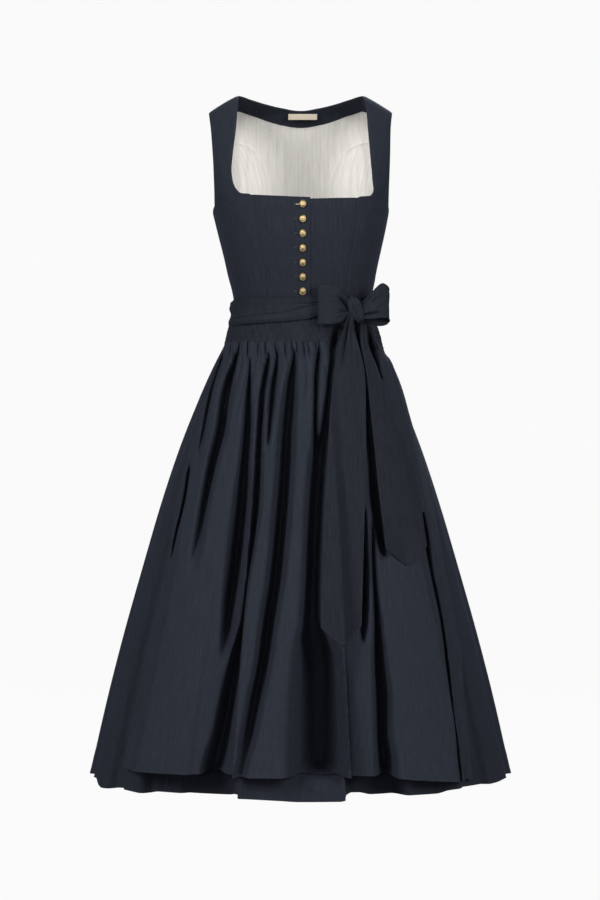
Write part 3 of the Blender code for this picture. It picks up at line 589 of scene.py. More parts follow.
def makeBack():
    row = bodiceRows
    yokeRows, seamRows = row[row < rowsOf["seamStart"]], row[row >= rowsOf["seamStart"]]
    leftSeam, rightSeam = (edgePlace("backSeam", seamRows, mirrored, True) for mirrored in (False, True))
    sideLeft = between(sidePlace("armholeBack", seamRows, True, True), leftSeam, 36)
    sideRight = between(rightSeam, sidePlace("armholeBack", seamRows, False, True), 36)
    leftEdge = np.concatenate((edgePlace("shoulderBack", yokeRows, False, True), leftSeam))
    rightEdge = np.concatenate((edgePlace("shoulderBack", yokeRows, True, True), rightSeam))
    rightEdge = rightEdge + np.array([4.0, 0.0])  # counted on past the middle of the back
    centre = between(leftEdge, rightEdge, 97)
    across = np.linspace(0, 1, centre.shape[1])
    around, run = bodicePlace(neckLine["x"], neckLine["z"], True)
    around = np.concatenate((around, 4 - around[-2::-1]))
    run = np.concatenate((run, run[-2::-1]))
    share = np.linspace(0, 1, len(run))
    topLine = placed(np.interp(across, share, around), curveThrough(share, run)(across))
    drop = topLine - centre[0]
    first = np.argmin(np.abs(row - lining["facingRow"]))
    facingFoot = centre[first] + drop * lining["facingDrop"]
    facingFoot[:, 1] += lining["facingCorner"] * bump(np.abs(across - 0.5), 0.32, 0.07)
    facing = between(topLine, facingFoot, 24).transpose(1, 0, 2)
    # The yoke's rows hang back in the middle while the back seams run level below them
    inFromEdge = 1 - (1 - np.minimum(across, 1 - across) * 2) ** 3
    centre[..., 1] += yoke["hang"](row)[:, None] * inFromEdge
    inside = centre + (facingFoot - centre[first]) * yoke["followsFacing"](row)[:, None, None]
    centre = centre + drop * yoke["followsNeck"](row)[:, None, None]
    inside = inside[row >= lining["facingRow"]]
    for places in (centre, inside):  # the yoke's rows are spaced evenly between the seams
        rows = places[:len(places) - np.sum(row > rowsOf["yokeFoot"]) + 1, :, 1]
        even = rows[0] + (rows[-1] - rows[0]) * np.linspace(0, 1, len(rows))[:, None]
        rows += (even - rows) * inFromEdge
    for name, node, places in (("sideBackLeftCloth", "side_back_left", sideLeft),
                               ("sideBackRightCloth", "side_back_right", sideRight),
                               ("centreBackCloth", "centre_back", centre)):
        bodicePanel(name, node, places, seamSides=("left", "right"))
    return facing, inside, sideLeft, sideRight


def makeBackInside(facing, centre, sideLeft, sideRight):
    inward = -(dress["layerGap"] + dress["liningWall"])

    def creased(base, gap):  # soft upright creases, uneven in length and depth
        x, z = base[..., 0], base[..., 2]
        bend = lining["bend"] * softNoise(z / 90, x / 200, 3)
        long = np.abs(softNoise((x + bend) / lining["creasePitch"], z / lining["creaseLength"], 11))
        short = np.abs(softNoise((x - bend) / lining["finePitch"], z / lining["fineLength"], 17))
        across = np.abs(softNoise(x / 30, (z + 0.4 * x) / 14, 23) * ease(-z, 60, 150))
        seam = lining["seamAt"] + 0.02 * z
        dips = bump(x, seam, lining["seamWidth"]) + 1.125 * bump(x, seam + 3.5, lining["seamWidth"])
        deep = lining["crease"] * long + lining["fine"] * short + lining["across"] * across
        return -deep * ease(-z, 20, 50) - lining["seamDip"] * dips

    for name, node, places in (
            ("liningCentreBackCloth", "lining_centre_back", centre),
            ("liningSideBackLeftCloth", "lining_side_back_left", sideLeft),
            ("liningSideBackRightCloth", "lining_side_back_right", sideRight)):
        bodicePanel(name, node, places, inward, dress["liningWall"], "lining",
                    seamSides=("left", "right"), extra=creased)
    bodicePanel("backNeckFacingCloth", "back_neck_facing", facing, inward - 0.5, dress["liningWall"])


makeFront()
makeBackInside(*makeBack())
print("bodice and lining made")


# Skirt: folds as start, end, depth, softness, height of the fold's start

skirtFolds = [
    (-0.161, 0.113, 42, 0.008, -480), (-0.58, -0.36, 12, 0.03, -600), (-0.80, -0.68, 13, 0.03, -560),
    (-1.06, -0.94, 6, 0.06, -560), (-1.26, -1.16, 17, 0.06, -500), (-1.48, -1.36, 20, 0.06, -480),
    (-1.71, -1.59, 18, 0.06, -520), (-1.95, -1.82, 22, 0.06, -470), (0.32, 0.50, 12, 0.04, -600),
    (0.66, 0.78, 13, 0.03, -560), (0.94, 1.06, 6, 0.06, -580), (1.15, 1.25, 18, 0.06, -490),
    (1.36, 1.47, 19, 0.06, -520), (1.58, 1.70, 20, 0.06, -480), (1.80, 1.93, 19, 0.06, -500),
]
gathers = {"main": 32, "mainDepth": 4.2, "fine": 136, "fineDepth": 2.6, "start": -396, "full": -425,
           "fade": -470, "end": -820, "fineFade": -410, "fineEnd": -560, "sway": 0.10, "takeUp": 1.15,
           "hemShade": 30.0, "foldsFrom": -480, "hemDepth": 40, "hemStep": 0.5, "hemEdge": 0.35,
           "soft": 1.1, "tuck": 0.002, "hollowEnds": 0.95}


def recessFade(z):  # how far the skirt and the apron sink into their valleys at this height
    foot = -apron["recessEnds"]
    return apron["recess"] * window(-z, 398, 458, foot - apron["recessSoft"], foot)


def skirtLift(around, z):
    around = wrapped(around)
    lift = 0.0
    for start, end, depth, soft, top in skirtFolds:
        rise = window(around, start - soft, start, end, end + soft)
        opened = np.maximum((top - z) / (top - dress["hem"]), 0.0) ** 0.85
        lift = lift + depth * rise * opened
    side = ease(np.abs(around), 0.75, 1.1)
    sway = gathers["sway"] * softNoise(around * 9, z / 260, 31)
    wave = pleat((around + sway * 0.4) * gathers["main"] / 4, 0.8)
    fade = 1 - ease(-z, -gathers["fade"], -gathers["end"])
    start = ease(-z, -gathers["start"], -gathers["full"])
    fine = pleat((around + sway * 0.15) * gathers["fine"] / 4, 0.9)
    fineFade = 1 - ease(-z, -gathers["fineFade"], -gathers["fineEnd"])
    tall = 1 + 0.45 * softNoise(around * 11, z / 300, 37)
    lift = lift + gathers["mainDepth"] * wave * fade * start * tall
    return lift + gathers["fineDepth"] * fine * fineFade * start * side * tall


def skirtPoint(around, z, extra=0.0):  # sinks behind the apron's valleys, a little wider than they are
    x = seenX(around, z)
    wider = np.max([valleyDepth(x + step, z) for step in range(-9, 10, 3)], axis=0)
    hollow = wider * recessFade(z) * (np.abs(around) < gathers["hollowEnds"])
    return skirtForm(around, z, skirtLift(around, z) + extra, -hollow - hemShade(around, z))


# How far the hem hangs down by the place around, and where it lies back in the apron's shade
hemDrop = curveThrough(
    [-1, -0.86, -0.775, -0.745, -0.72, -0.6, -0.47, -0.43, -0.2, -0.16, -0.06, 0,
     0.1, 0.13, 0.16, 0.2, 0.27, 0.33, 0.41, 0.46, 0.7, 0.78, 0.88, 1],
    [1, -4, -4, 7, 10, 6, 10, 8, 8.5, 4, 6, 8, 8, 4, 4, 8, 7, 6, 6, 2, -1, -4, -4, 1])


def hemShade(around, z):
    sides = window(around, -0.52, -0.45, -0.19, -0.165) + window(around, 0.118, 0.14, 0.26, 0.32)
    return gathers["hemShade"] * sides * ease(-z, 1060, 1170)


def makeSkirt():
    top, middle, hem = dress["waistSeam"] - 0.5, gathers["foldsFrom"], dress["hem"]
    z = np.concatenate((np.linspace(top, middle, 26)[:-1], np.linspace(middle, hem, 66)))[:, None]
    for name, node, first in (("skirtFrontCloth", "skirt_front", -1.0),
                              ("skirtBackCloth", "skirt_back", 1.0)):
        tucked = gathers["tuck"] * (first > 0)  # the back's seam allowance lies under the front's edge
        around = first + np.linspace(-tucked, 2.0 + tucked, 400)[None, :]
        turned = np.where(around > 2, around - 4, around)
        level = z - hemDrop(turned) * ease(-z, 900, -hem)
        atSeam = bump(np.abs(turned), 1.0, 0.05)
        soft = softNoise(around * 5, level / 120, 41) * ease(-level, 480, 760) * (1 - atSeam)
        foldTop = -hem - gathers["hemDepth"]
        hemFold = gathers["hemStep"] * ease(-z, foldTop - 2, foldTop + 1)
        hemFold = hemFold + gathers["hemEdge"] * bump(z, hem, 2.2)
        under = 0.5 * bump(np.abs(turned), 1.0, 0.004) * (first > 0)
        points = skirtPoint(turned, level, gathers["soft"] * soft + hemFold - under)
        down = walk(points, 0)
        wide = np.linspace(0, 1, points.shape[1]) * walk(points, 1)[-1, -1]
        # The skirt takes the lighter copy of the dress cloth: painted light
        piece = cloth(name, points, dress["skirtWall"], finishes["skirt"], placed(wide, down))
        standFor(piece, "dress_cloth", node)


# Apron valleys, each from its top down as height, x seen from the front, half width, depth from 0 to 1
apronValleys = {
    "outerRight": [
        (-457, -109, 3, 0.5), (-474, -115, 4.7, 0.8), (-492, -121, 5.7, 0.9), (-510, -126, 7.6, 1),
        (-545, -133, 9.5, 1), (-597, -141, 9.4, 1), (-649, -154, 8.6, 0.9), (-717, -167, 8, 0.55),
        (-785, -178, 8, 0.28), (-844, -188, 8, 0)],
    "edgeRight": [
        (-467, -138, 3, 0.4), (-492, -146.5, 3.8, 0.5), (-545, -162, 4.5, 0.5), (-597, -173, 4.5, 0.35),
        (-649, -183, 4.7, 0)],
    "right": [
        (-485, -88.7, 2.5, 0.5), (-510, -90.3, 3, 0.75), (-545, -92, 5, 1), (-597, -94, 7.5, 1),
        (-649, -98, 8.6, 1), (-717, -103, 12, 1), (-785, -110, 13, 1), (-853, -118, 12, 1),
        (-903, -124, 10.5, 0.75), (-952, -128.5, 9.5, 0.3), (-993, -131.5, 9.5, 0)],
    "rightInner": [
        (-471, -55.5, 2.8, 0.5), (-492, -60, 5.3, 0.8), (-545, -68, 5, 0.9), (-597, -70.5, 5.7, 1),
        (-649, -72, 6.8, 1), (-717, -74.5, 7.8, 1), (-785, -81, 6.3, 1), (-853, -89, 4.3, 0.7),
        (-919, -97, 4.3, 0.8), (-961, -106, 7.3, 1), (-1051, -122.5, 12, 1), (-1115, -134, 14, 1),
        (-1156, -144, 17.5, 1), (-1211, -156, 18, 1)],
    "rightShort": [
        (-467, -40.5, 3, 0.5), (-492, -43, 4.6, 0.85), (-510, -45.6, 5.3, 0.9), (-545, -49, 5.3, 0.75),
        (-597, -53, 3.8, 0.4), (-631, -55, 3.8, 0)],
    "middle": [
        (-464, -10.6, 3.4, 0.5), (-492, -13.2, 6, 0.9), (-510, -15.8, 7.6, 1), (-545, -18.4, 10.2, 1),
        (-597, -22.7, 11.3, 1), (-649, -25.2, 12.4, 1), (-785, -35.3, 12.3, 1), (-853, -42, 11.8, 1),
        (-919, -52, 11.4, 1), (-985, -60.5, 11, 0.9), (-1051, -73.5, 11, 0.75), (-1115, -85, 11, 0.5),
        (-1156, -93, 9, 0.3), (-1211, -101, 9, 0.2)],
    "leftShort": [
        (-457, 33.4, 2.9, 0.5), (-474, 30.8, 4.2, 0.9), (-510, 27.2, 4.5, 1), (-545, 26.2, 3.8, 1),
        (-597, 25.3, 4.1, 1), (-631, 25.2, 5.6, 1), (-656, 27, 5.6, 0)],
    "left": [
        (-408, 65, 8.5, 0.9), (-425, 64, 8.5, 1), (-441, 61, 8, 1), (-457, 57.3, 6.7, 1),
        (-474, 56.3, 5.3, 1), (-510, 51.7, 4.5, 1), (-545, 48, 6, 1), (-597, 42.7, 8.3, 1),
        (-626, 35.7, 13.2, 1), (-649, 33, 15, 1), (-717, 27.7, 15, 1), (-853, 21.4, 14.2, 1),
        (-919, 19.6, 15.8, 1.1), (-952, 24.7, 24, 1.5), (-985, 29, 28.4, 1.9), (-1051, 29.6, 33, 2.1),
        (-1115, 29.4, 34.5, 2.2), (-1211, 29.2, 36, 2.2)],
    "betweenTails": [
        (-538, 118, 3.8, 0.6), (-597, 120.5, 6, 1), (-649, 126, 6.8, 1), (-717, 131.5, 9.3, 1),
        (-785, 142, 8.4, 1), (-819, 147, 5.6, 0)],
    "besideKnot": [
        (-406, 101, 7, 0.9), (-425, 101.5, 7, 1), (-440, 103.5, 5.5, 1), (-465, 106.5, 3.5, 0.8),
        (-490, 109, 3, 0.4), (-510, 110, 3, 0)],
    "sideOfTail": [
        (-405, 120, 6, 0.9), (-425, 121, 7, 1), (-440, 123.5, 8, 1), (-455, 127, 7.5, 1),
        (-466, 130, 6.5, 1), (-478, 134, 5.5, 0.9), (-495, 138.5, 4.5, 0.6), (-515, 142, 4, 0)],
    "besideTail": [
        (-743, 110.5, 3.7, 0.4), (-785, 109.3, 6, 0.8), (-853, 109.7, 7.4, 0.9), (-919, 109.2, 6.3, 0.8),
        (-961, 108, 3.7, 0)],
    "leftOuter": [
        (-751, 126, 3.7, 0.3), (-785, 126.6, 3.7, 0.5), (-853, 129.4, 3.7, 0.6), (-919, 134, 5.2, 0.85),
        (-985, 136.7, 8.4, 1), (-1051, 141, 11, 1), (-1115, 142, 10.2, 1), (-1156, 146, 12.7, 1),
        (-1211, 148, 13.5, 1)],
    "edgeLeft": [
        (-751, 218, 3, 0.4), (-785, 224, 3.4, 0.7), (-853, 236, 3.2, 0.5), (-919, 249, 3.2, 0.5),
        (-985, 259, 4.2, 0.8), (-1051, 264, 4, 0.7), (-1115, 268, 3.2, 0.5), (-1211, 274, 3, 0.4)],
    "edgeGap": [
        (-667, -199, 2.8, 0.4), (-717, -207, 4, 0.8), (-785, -221, 3, 0.5), (-835, -229, 3, 0)],
}
valleyLines = [columns("x halfWidth depth", rows) for rows in apronValleys.values()]
valleyEnds = [(rows[0][0], rows[-1][0]) for rows in apronValleys.values()]
# Short grooves right under the shirring, as x seen from the front
gatherMarks = [-140, -124, -108, -94, -75.5, -62.4, -44.8, -27.2, -14.9, -6.2, 6.2,
               14.1, 27.2, 32.5, 50.1, 66, 79, 95, 104, 121, 138, 152]


def valleyDepth(x, z):  # 0 on a fold's crest, 1 in the bottom of a valley, and more where it gapes
    sunk = 0.0
    for line, (top, foot) in zip(valleyLines, valleyEnds):
        reach = ease(z, top + 14, top - 1)
        if foot > apron["openAtHem"]:
            reach = reach * ease(z, foot - 8, foot)
        profile = np.exp(-np.abs((x - line["x"](z)) / line["halfWidth"](z)) ** apron["steepness"])
        sunk = np.maximum(sunk, line["depth"](z) * reach * profile)
    marks = sum(bump(x, mark, apron["markWidth"]) for mark in gatherMarks)
    marks = np.minimum(marks, 1) * bump(z, apron["markAt"], apron["markHeight"])
    return np.maximum(sunk, apron["markShare"] * marks)


apron = {
    "raise": 46.0, "raiseAtTop": 0.36, "open": -1000.0, "clearance": 1.6, "edgeSoft": 0.09,
    "sideHem": 15.0, "recess": 44.0, "recessEnds": -1195.0, "recessSoft": 26.0, "steepness": 2.9,
    "pleats": 92, "pleatDepth": 2.1, "pleatEnd": -492.0, "puffs": 31, "puffDepth": 3.0,
    "markShare": 0.34, "markWidth": 2.1, "markAt": -455.0, "markHeight": 9.0, "openAtHem": -1200.0,
    "underReach": 6.0, "sideFlat": 0.85, "edgeRaise": 0.12, "aheadOfSkirt": 3.0, "soft": 0.8,
    "turnedStep": 0.7, "foldOut": 4.5, "foldIn": 5.0, "takeUp": 1.35,
    "shirredWidth": 1720.0, "panelWidth": 1066.4, "hemRight": -0.622, "hemLeft": 0.578, "hemDepth": 33.0,
    "shirredLength": 48.0, "panelLength": 760.0,
}
apronEdges = columns("left right", [
    (-401, -1.04, 1.04), (-443, -0.86, 1.00), (-500, -0.735, 0.94), (-636, -0.693, 0.80),
    (-925, -0.61, 0.655), (-1107, -0.612, 0.605), (-1206, -0.622, 0.578),
])
apronHem = curveThrough(
    [-0.62, -0.35, -0.04, 0.045, 0.12, 0.2, 0.35, 0.48, 0.578],
    [-1184, -1182, -1179, -1184, -1181, -1183, -1192, -1199, -1205])


def bandFoot(around):  # the waistband's lower edge, which sags over the wearer's right hip
    return dress["bandFoot"] - 9 * ease(-around, 0.35, 1.0) + 6 * window(around, 0.02, 0.16, 0.42, 0.6)


def apronLift(around, z, share, crest=False):  # how far out, and how far ahead, the apron's cloth lies
    reach = apron["underReach"] / skirt["halfWidth"](z)
    under = np.max([skirtLift(around + step * reach, z) for step in (-1, -0.5, 0, 0.5, 1)], axis=0)
    foot = -dress["shirringFoot"]
    opened = ease(-z, foot + 12, -apron["open"])
    top = apron["raiseAtTop"]
    raised = apron["raise"] * (top + (1 - top) * opened) * ease(-z, foot + 2, foot + 40)
    raised = raised * (1 - apron["sideFlat"] * ease(np.abs(around), 0.74, 0.95))
    edge = np.minimum(around - apronEdges["left"](z), apronEdges["right"](z) - around)
    lowest = apron["edgeRaise"]
    raised = raised * (lowest + (1 - lowest) * ease(edge, 0.0, apron["edgeSoft"]))
    sway = 0.3 * softNoise(share * 23, z / 60, 51)
    fine = pleat(share * apron["pleats"] + sway, 0.8) * apron["pleatDepth"]
    fine = fine * (1 + 0.6 * ease(-z, foot + 8, foot - 8))
    fine = fine * (0.55 + 0.45 * softNoise(share * 61, z / 200, 59))
    fine = fine * (1 - ease(-z, foot + 4, -apron["pleatEnd"]))
    puffSway = 0.6 * softNoise(share * 12, 0.0, 53)
    puff = pleat(share * apron["puffs"] + puffSway, 0.7) * apron["puffDepth"]
    puff = puff * window(-z, foot + 1, foot + 12, foot + 60, foot + 170)
    valley = 0.0 if crest else valleyDepth(seenX(around, z), z)
    lift = under + dress["skirtWall"] + apron["clearance"] + fine + puff
    sunk = valley * np.maximum(recessFade(z) - apron["aheadOfSkirt"], 0.0)
    return lift, raised * (1 - np.minimum(valley, 1)) - sunk


def apronPoint(share, z, extra=0.0):
    left, right = apronEdges["left"](z), apronEdges["right"](z)
    around = left + (right - left) * share
    lift, ahead = apronLift(around, z, share)
    return skirtForm(around, z, lift + extra, ahead)


stitches = {"perRow": 92, "heights": (-411.0, -420.0, -429.0, -438.0), "length": 3.4, "thickness": 0.5,
            "dip": 0.45, "rowDip": 1.1}


def makeApron():
    share = np.linspace(0, 1, 470)[None, :]
    top = bandFoot(-1.04 + 2.08 * share) + 6.0
    down = np.linspace(0, 1, 26)[:, None]
    z = top + (dress["shirringFoot"] - top) * down
    rowDip = sum(bump(z, height, stitches["rowDip"]) for height in stitches["heights"])
    points = apronPoint(share, z, -stitches["dip"] * rowDip)
    weave = placed(share * apron["shirredWidth"], -z)
    # The shirring takes the darker copy of the apron's cloth: painted shade
    shirring = cloth("apronShirringCloth", points, dress["apronWall"], finishes["tie"], weave)
    standFor(shirring, "apron_cloth", "apron_shirring")

    rows = 1 - (1 - np.linspace(0, 1, 92)[:, None]) ** 1.15
    foot = apronHem(apron["hemRight"] + (apron["hemLeft"] - apron["hemRight"]) * share)
    z = dress["shirringFoot"] + (foot - dress["shirringFoot"]) * rows
    width = (apronEdges["right"](z) - apronEdges["left"](z)) * skirt["halfWidth"](z) * apron["takeUp"]
    edge = np.minimum(share, 1 - share) * width
    sideTurn = ease(edge, apron["sideHem"] + 0.8, apron["sideHem"] - 0.8)
    hemTurn = ease(z - foot, apron["hemDepth"] + 1, apron["hemDepth"] - 2)
    turned = apron["turnedStep"] * (sideTurn + hemTurn) + 0.5 * bump(z, foot, 2.5)
    fromLeft = (1 - share) * width  # a soft fold down the edge on the wearer's left
    edgeFold = apron["foldOut"] * bump(fromLeft, 3, 7) - apron["foldIn"] * bump(fromLeft, 17, 6)
    edgeFold = edgeFold * ease(-z, 850, 1000) * ease(share, 0.9, 0.96)
    soft = apron["soft"] * softNoise(share * 14, z / 75, 61) * ease(-z, 520, 700)
    points = apronPoint(share, z, turned + edgeFold + soft)
    weave = placed(share * apron["panelWidth"], -z)
    panel = cloth("apronPanelCloth", points, dress["apronWall"], finishes["apron"], weave)
    standFor(panel, "apron_cloth", "apron_panel")


# Waistband and the ties round the waist

band = {
    "flare": 0.125, "flareTop": -378.0, "sideDrop": 9.5, "sideBulge": 4.6, "roll": 2.0, "rollWidth": 6.0,
    "groove": 2.2, "grooveWidth": 1.5, "second": 2.0, "secondAt": -376.5, "third": 1.6, "thirdAt": -386.0,
    "fine": 0.35, "finePitch": 4.5, "topRoll": 0.7, "footRoll": 1.1,
}
# Heights on the tie that runs round to the bow, by the place around
tieFoot = curveThrough([-2.08, -1.25, -1.0, -0.8, -0.64, -0.33, -0.11, 0.02, 0.11, 0.42],
                       [-404, -413, -416, -413, -411, -408.5, -406, -402, -396, -392])
tieCrease = curveThrough([-2.08, -1.0, -0.64, -0.33, -0.12, -0.03, 0.03, 0.11, 0.42],
                         [-398, -402, -400, -394, -391, -386, -380.5, -377, -373])


def sideDrop(around):  # the tie has slipped down over the wearer's right hip
    return band["sideDrop"] * window(-around, 0.6, 0.95, 1.2, 1.7)


def bandPoint(around, z, out):
    run = bodicePlace(0, np.maximum(z, dress["waistSeam"]))[1]
    flare = band["flare"] * np.maximum(band["flareTop"] - z, 0)
    placket = dress["bodiceWall"] + dress["layerGap"]  # the front is double where it buttons
    lift = out + flare + placket * window(around, -0.32, -0.16, 0.08, 0.24)
    x, y = ring(bodice, around, run, dress["roundness"], lift)
    return placed(x + leans(z), y, z)


def bandPiece(name, node, first, last, layer, top, foot, folds, count):
    around = np.linspace(first, last, count)[None, :]
    down = np.linspace(0, 1, 30)[:, None]
    z = top(around) + (foot(around) - top(around)) * down
    points = bandPoint(wrapped(around), z, layer(around) + folds(around, down, z))
    # The waistband and ties take the darker copy of the apron's cloth: painted shade
    piece = cloth(name, points, dress["tieWall"], finishes["tie"])
    standFor(piece, "apron_cloth", node)
    length = float(walk(points, 1)[0, -1]) * mm


def makeWaist():
    inner = dress["bodiceWall"] + dress["layerGap"] * 2
    outer = inner + dress["tieWall"] + 0.6

    def rolled(down):  # the foot of a folded strip turns in softly, and its top stands off a little
        return band["topRoll"] * bump(down, 0.0, 0.05) - band["footRoll"] * bump(down, 1.0, 0.06)

    def waistFolds(around, down, z):
        return rolled(down) + 1.2 * bump(down, 0.82, 0.14) + 0.3 * softNoise(around * 6, down * 5, 71)

    def rightFolds(around, down, z):
        front = ease(around, -0.95, -0.6)
        crease = tieCrease(around)
        wander = 0.8 * softNoise(around * 5, 0.3, 73)
        roll = band["roll"] * bump(z, (crease + tieFoot(around)) / 2, band["rollWidth"]) * front
        groove = band["groove"] * bump(z, crease + wander, band["grooveWidth"]) * front
        second = bump(z, band["secondAt"] + 3 * ease(around, -0.05, 0.15), band["grooveWidth"])
        second = band["second"] * second * ease(around, -0.08, 0.06)
        third = band["third"] * bump(z, band["thirdAt"], band["grooveWidth"]) * ease(around, 0.02, 0.12)
        hip = window(-around, 0.6, 1.0, 1.25, 1.6)
        bulges = band["sideBulge"] * hip * (bump(z, -381, 8.5) + 0.8 * bump(z, -406, 9.0))
        fine = band["fine"] * softNoise(around * 7, z / band["finePitch"], 77)
        return rolled(down) + roll - groove - second - third + bulges + fine + 0.4

    def leftFolds(around, down, z):
        line = bump(z, -381 + 4 * softNoise(around * 2.5, 0.7, 79), 1.6)
        other = bump(z, -390 + 4 * softNoise(around * 3.1, 2.7, 83), 1.4)
        fine = band["fine"] * softNoise(around * 7, z / band["finePitch"], 89)
        return rolled(down) - 1.3 * line - 1.1 * other + fine + 0.3

    def leftLayer(around):
        return inner + (outer - inner) * (1 - ease(around, 1.36, 1.6))

    bandPiece("apronWaistbandCloth", "apron_waistband", -1.28, 1.28, lambda at: inner,
              lambda at: dress["bandTop"] - sideDrop(at), bandFoot, waistFolds, 190)
    bandPiece("tieRoundRightCloth", "tie_round_right", -2.08, 0.42, lambda at: outer,
              lambda at: dress["bandTop"] + 1.5 - sideDrop(at), tieFoot, rightFolds, 220)
    bandPiece("tieRoundLeftCloth", "tie_round_left", 0.54, 2.08, leftLayer,
              lambda at: dress["bandTop"] + 1, lambda at: dress["bandFoot"] + 6, leftFolds, 150)


makeSkirt()
makeWaist()
makeApron()
print("skirt, apron and waist ties made")


# The bow: stations as share along the ribbon, x, y, half height, middle height

bow = {
    "knotAt": (96.5, -99.0, -386.0), "knotSize": (27.0, 25.0, 46.0), "knotSlant": -0.28,
    "loopLeft": [
        (0.00, 108, -95, 13, -387), (0.12, 120, -87, 21, -388), (0.30, 138, -83, 27, -387),
        (0.43, 152, -85, 28, -383.5), (0.50, 156.5, -91, 27, -378), (0.57, 154.5, -98, 27.5, -373.5),
        (0.68, 144, -105, 30, -370), (0.80, 129, -108.5, 25, -376.5), (0.90, 117, -107, 19, -383),
        (1.00, 108, -101, 13, -387)],
    "loopRight": [
        (0.00, 85, -97, 14, -383), (0.10, 75, -104, 24, -381), (0.22, 62, -110, 31, -378.5),
        (0.36, 46, -114, 33.5, -377.8), (0.45, 35, -117, 34, -377.8), (0.50, 31, -120.5, 34, -377.8),
        (0.55, 34.5, -124, 34, -377.8), (0.66, 48, -126.5, 33.5, -378), (0.80, 64, -123, 31, -378.8),
        (0.90, 75, -115, 24, -381), (1.00, 85, -105, 14, -383)],
    "creaseDepth": 2.0, "creases": 5.0, "ribbonWidth": 66.0,
    "knotPinch": 0.14, "knotFold": 0.05, "knotGroove": 0.06, "knotFill": 0.8,
}
# Creases pressed into the front of each loop: from x, z to x, z, then depth and width
loopCreases = {
    "loopLeft": [
        (110, -393, 142, -385, 6.0, 2.6), (111, -374, 131, -352, 3.6, 2.6),
        (112, -382, 128, -374, 1.6, 2.0)],
    "loopRight": [
        (87, -388, 74, -369, 13.0, 3.6), (79, -374, 66, -365, 6.0, 2.8), (79, -389, 67, -387, 4.0, 4.4),
        (82, -392, 60, -404, 1.4, 2.2), (72, -376, 44, -372, 1.0, 3.0)],
    "knot": [
        (113, -374, 98, -382, 3.4, 1.8), (101, -390, 98, -409, 2.4, 1.8), (91, -379, 95, -398, 2.2, 1.5)],
}


def nearLine(x, z, line):  # the crease's depth where it starts, fading along and away from it
    x1, z1, x2, z2, depth, width = line
    along = ((x - x1) * (x2 - x1) + (z - z1) * (z2 - z1)) / ((x2 - x1) ** 2 + (z2 - z1) ** 2)
    share = np.clip(along, 0, 1)
    away = np.hypot(x - x1 - share * (x2 - x1), z - z1 - share * (z2 - z1))
    return depth * (1 - ease(share, 0.55, 1.0)) * np.exp(-(away / (width * (0.7 + 0.6 * share))) ** 2)


def makeLoop(name, node, side, seed):
    line = columns("x y halfHeight middle", bow[side])
    along = np.linspace(0, 1, 120)[None, :]
    down = np.linspace(1, -1, 48)[:, None]
    z = line["middle"](along) + down * line["halfHeight"](along)
    points = placed(line["x"](along), line["y"](along), z)
    normal = unit(np.cross(np.gradient(points, axis=0), np.gradient(points, axis=1)))
    fromKnot = np.minimum(along, 1 - along) * 2
    fan = softNoise(down * bow["creases"] + seed, fromKnot * 1.3, seed)
    lift = bow["creaseDepth"] * fan * (1 - ease(fromKnot, 0.25, 0.85)) * ease(fromKnot, -0.2, 0.12)
    lift = lift + 0.7 * softNoise(down * 3, along * 6, seed + 1)
    lift = lift - bump(np.abs(down), 1.0, 0.05)  # the ribbon's long edges roll in
    front = ease(along, 0.56, 0.62)
    for crease in loopCreases[side]:
        lift = lift - nearLine(points[..., 0], z, crease) * front
    points = points + normal * lift[..., None]
    piece = cloth(name, points, dress["tieWall"], finishes["tie"])
    standFor(piece, "apron_cloth", node)


def makeKnot():
    deselect()
    bpy.ops.mesh.primitive_uv_sphere_add(segments=72, ring_count=48, radius=1)
    knot = bpy.context.active_object
    knot.name = knot.data.name = "bowKnotCloth"
    x, y, z = vertexPlaces(knot.data).T
    swell = 1 / np.maximum(np.abs(x) ** 3 + np.abs(y) ** 3 + np.abs(z) ** 3, 1e-9) ** (1 / 3)
    pinch = 1 - bow["knotPinch"] * (z * swell) ** 2
    bend = x * swell + 0.18 * (z * swell) ** 2  # the folds follow the knot's slant and bow a little
    front = ease(-y, -0.3, 0.4)
    folds = bow["knotFold"] * np.sin(bend * 7.2 + 0.5) - bow["knotGroove"] * bump(bend, 0.35, 0.09)
    folds = 1 + folds * front + 0.02 * softNoise(x * 3, z * 3, 97)
    size = np.array(bow["knotSize"]) / 2
    shaped = placed(x * size[0] * pinch, y * size[1], z * size[2]) * (swell * folds)[:, None]
    shaped[:, 0] += shaped[:, 2] * bow["knotSlant"]
    shaped = shaped + np.array(bow["knotAt"])
    for crease in loopCreases["knot"]:
        shaped[:, 1] += nearLine(shaped[:, 0], shaped[:, 2], crease) * front
    moveVertices(knot.data, shaped)
    uv = np.empty(len(knot.data.loops) * 2)
    knot.data.uv_layers[0].data.foreach_get("uv", uv)
    layFlat(knot.data, uv.reshape(-1, 2) * np.array([2 * math.pi * size[0], math.pi * size[2]]) * mm)
    bpy.ops.object.shade_smooth()
    knot.data.materials.append(finishes["tie"])
    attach(knot, "root")
    standFor(knot, "apron_cloth", "bow_knot")


tails = {
    "longTail": [
        (-382, 85.5, 1.5, 6), (-390, 88.0, 2.6, 17), (-398, 87.3, 4.6, 20.5), (-409, 86, 7.5, 18),
        (-430, 85, 12, 12.5), (-456, 85, 18.5, 7.5), (-491, 85, 25.5, 4.5), (-560, 82, 31, 3),
        (-626, 80, 32.8, 2), (-773, 73.8, 35, 2), (-928, 69, 35, 2)],
    "shortTail": [
        (-402, 106, 3.5, 1), (-409, 110, 4.5, 4), (-425, 110.5, 5, 7), (-440, 111, 5.8, 8),
        (-464, 116.5, 8, 6), (-478, 121, 9.5, 5), (-508, 128.5, 12.5, 4), (-550, 139, 19, 3),
        (-609, 155, 29, 2), (-700, 169.5, 35, 2), (-798, 182, 36.5, 2)],
    "point": 32.0, "standOff": 2.5, "grooveWidth": 3.2, "gather": 3.0, "soft": 0.8, "hemStep": 0.5,
    "restsFrom": -425.0, "restsTo": -960.0,
}
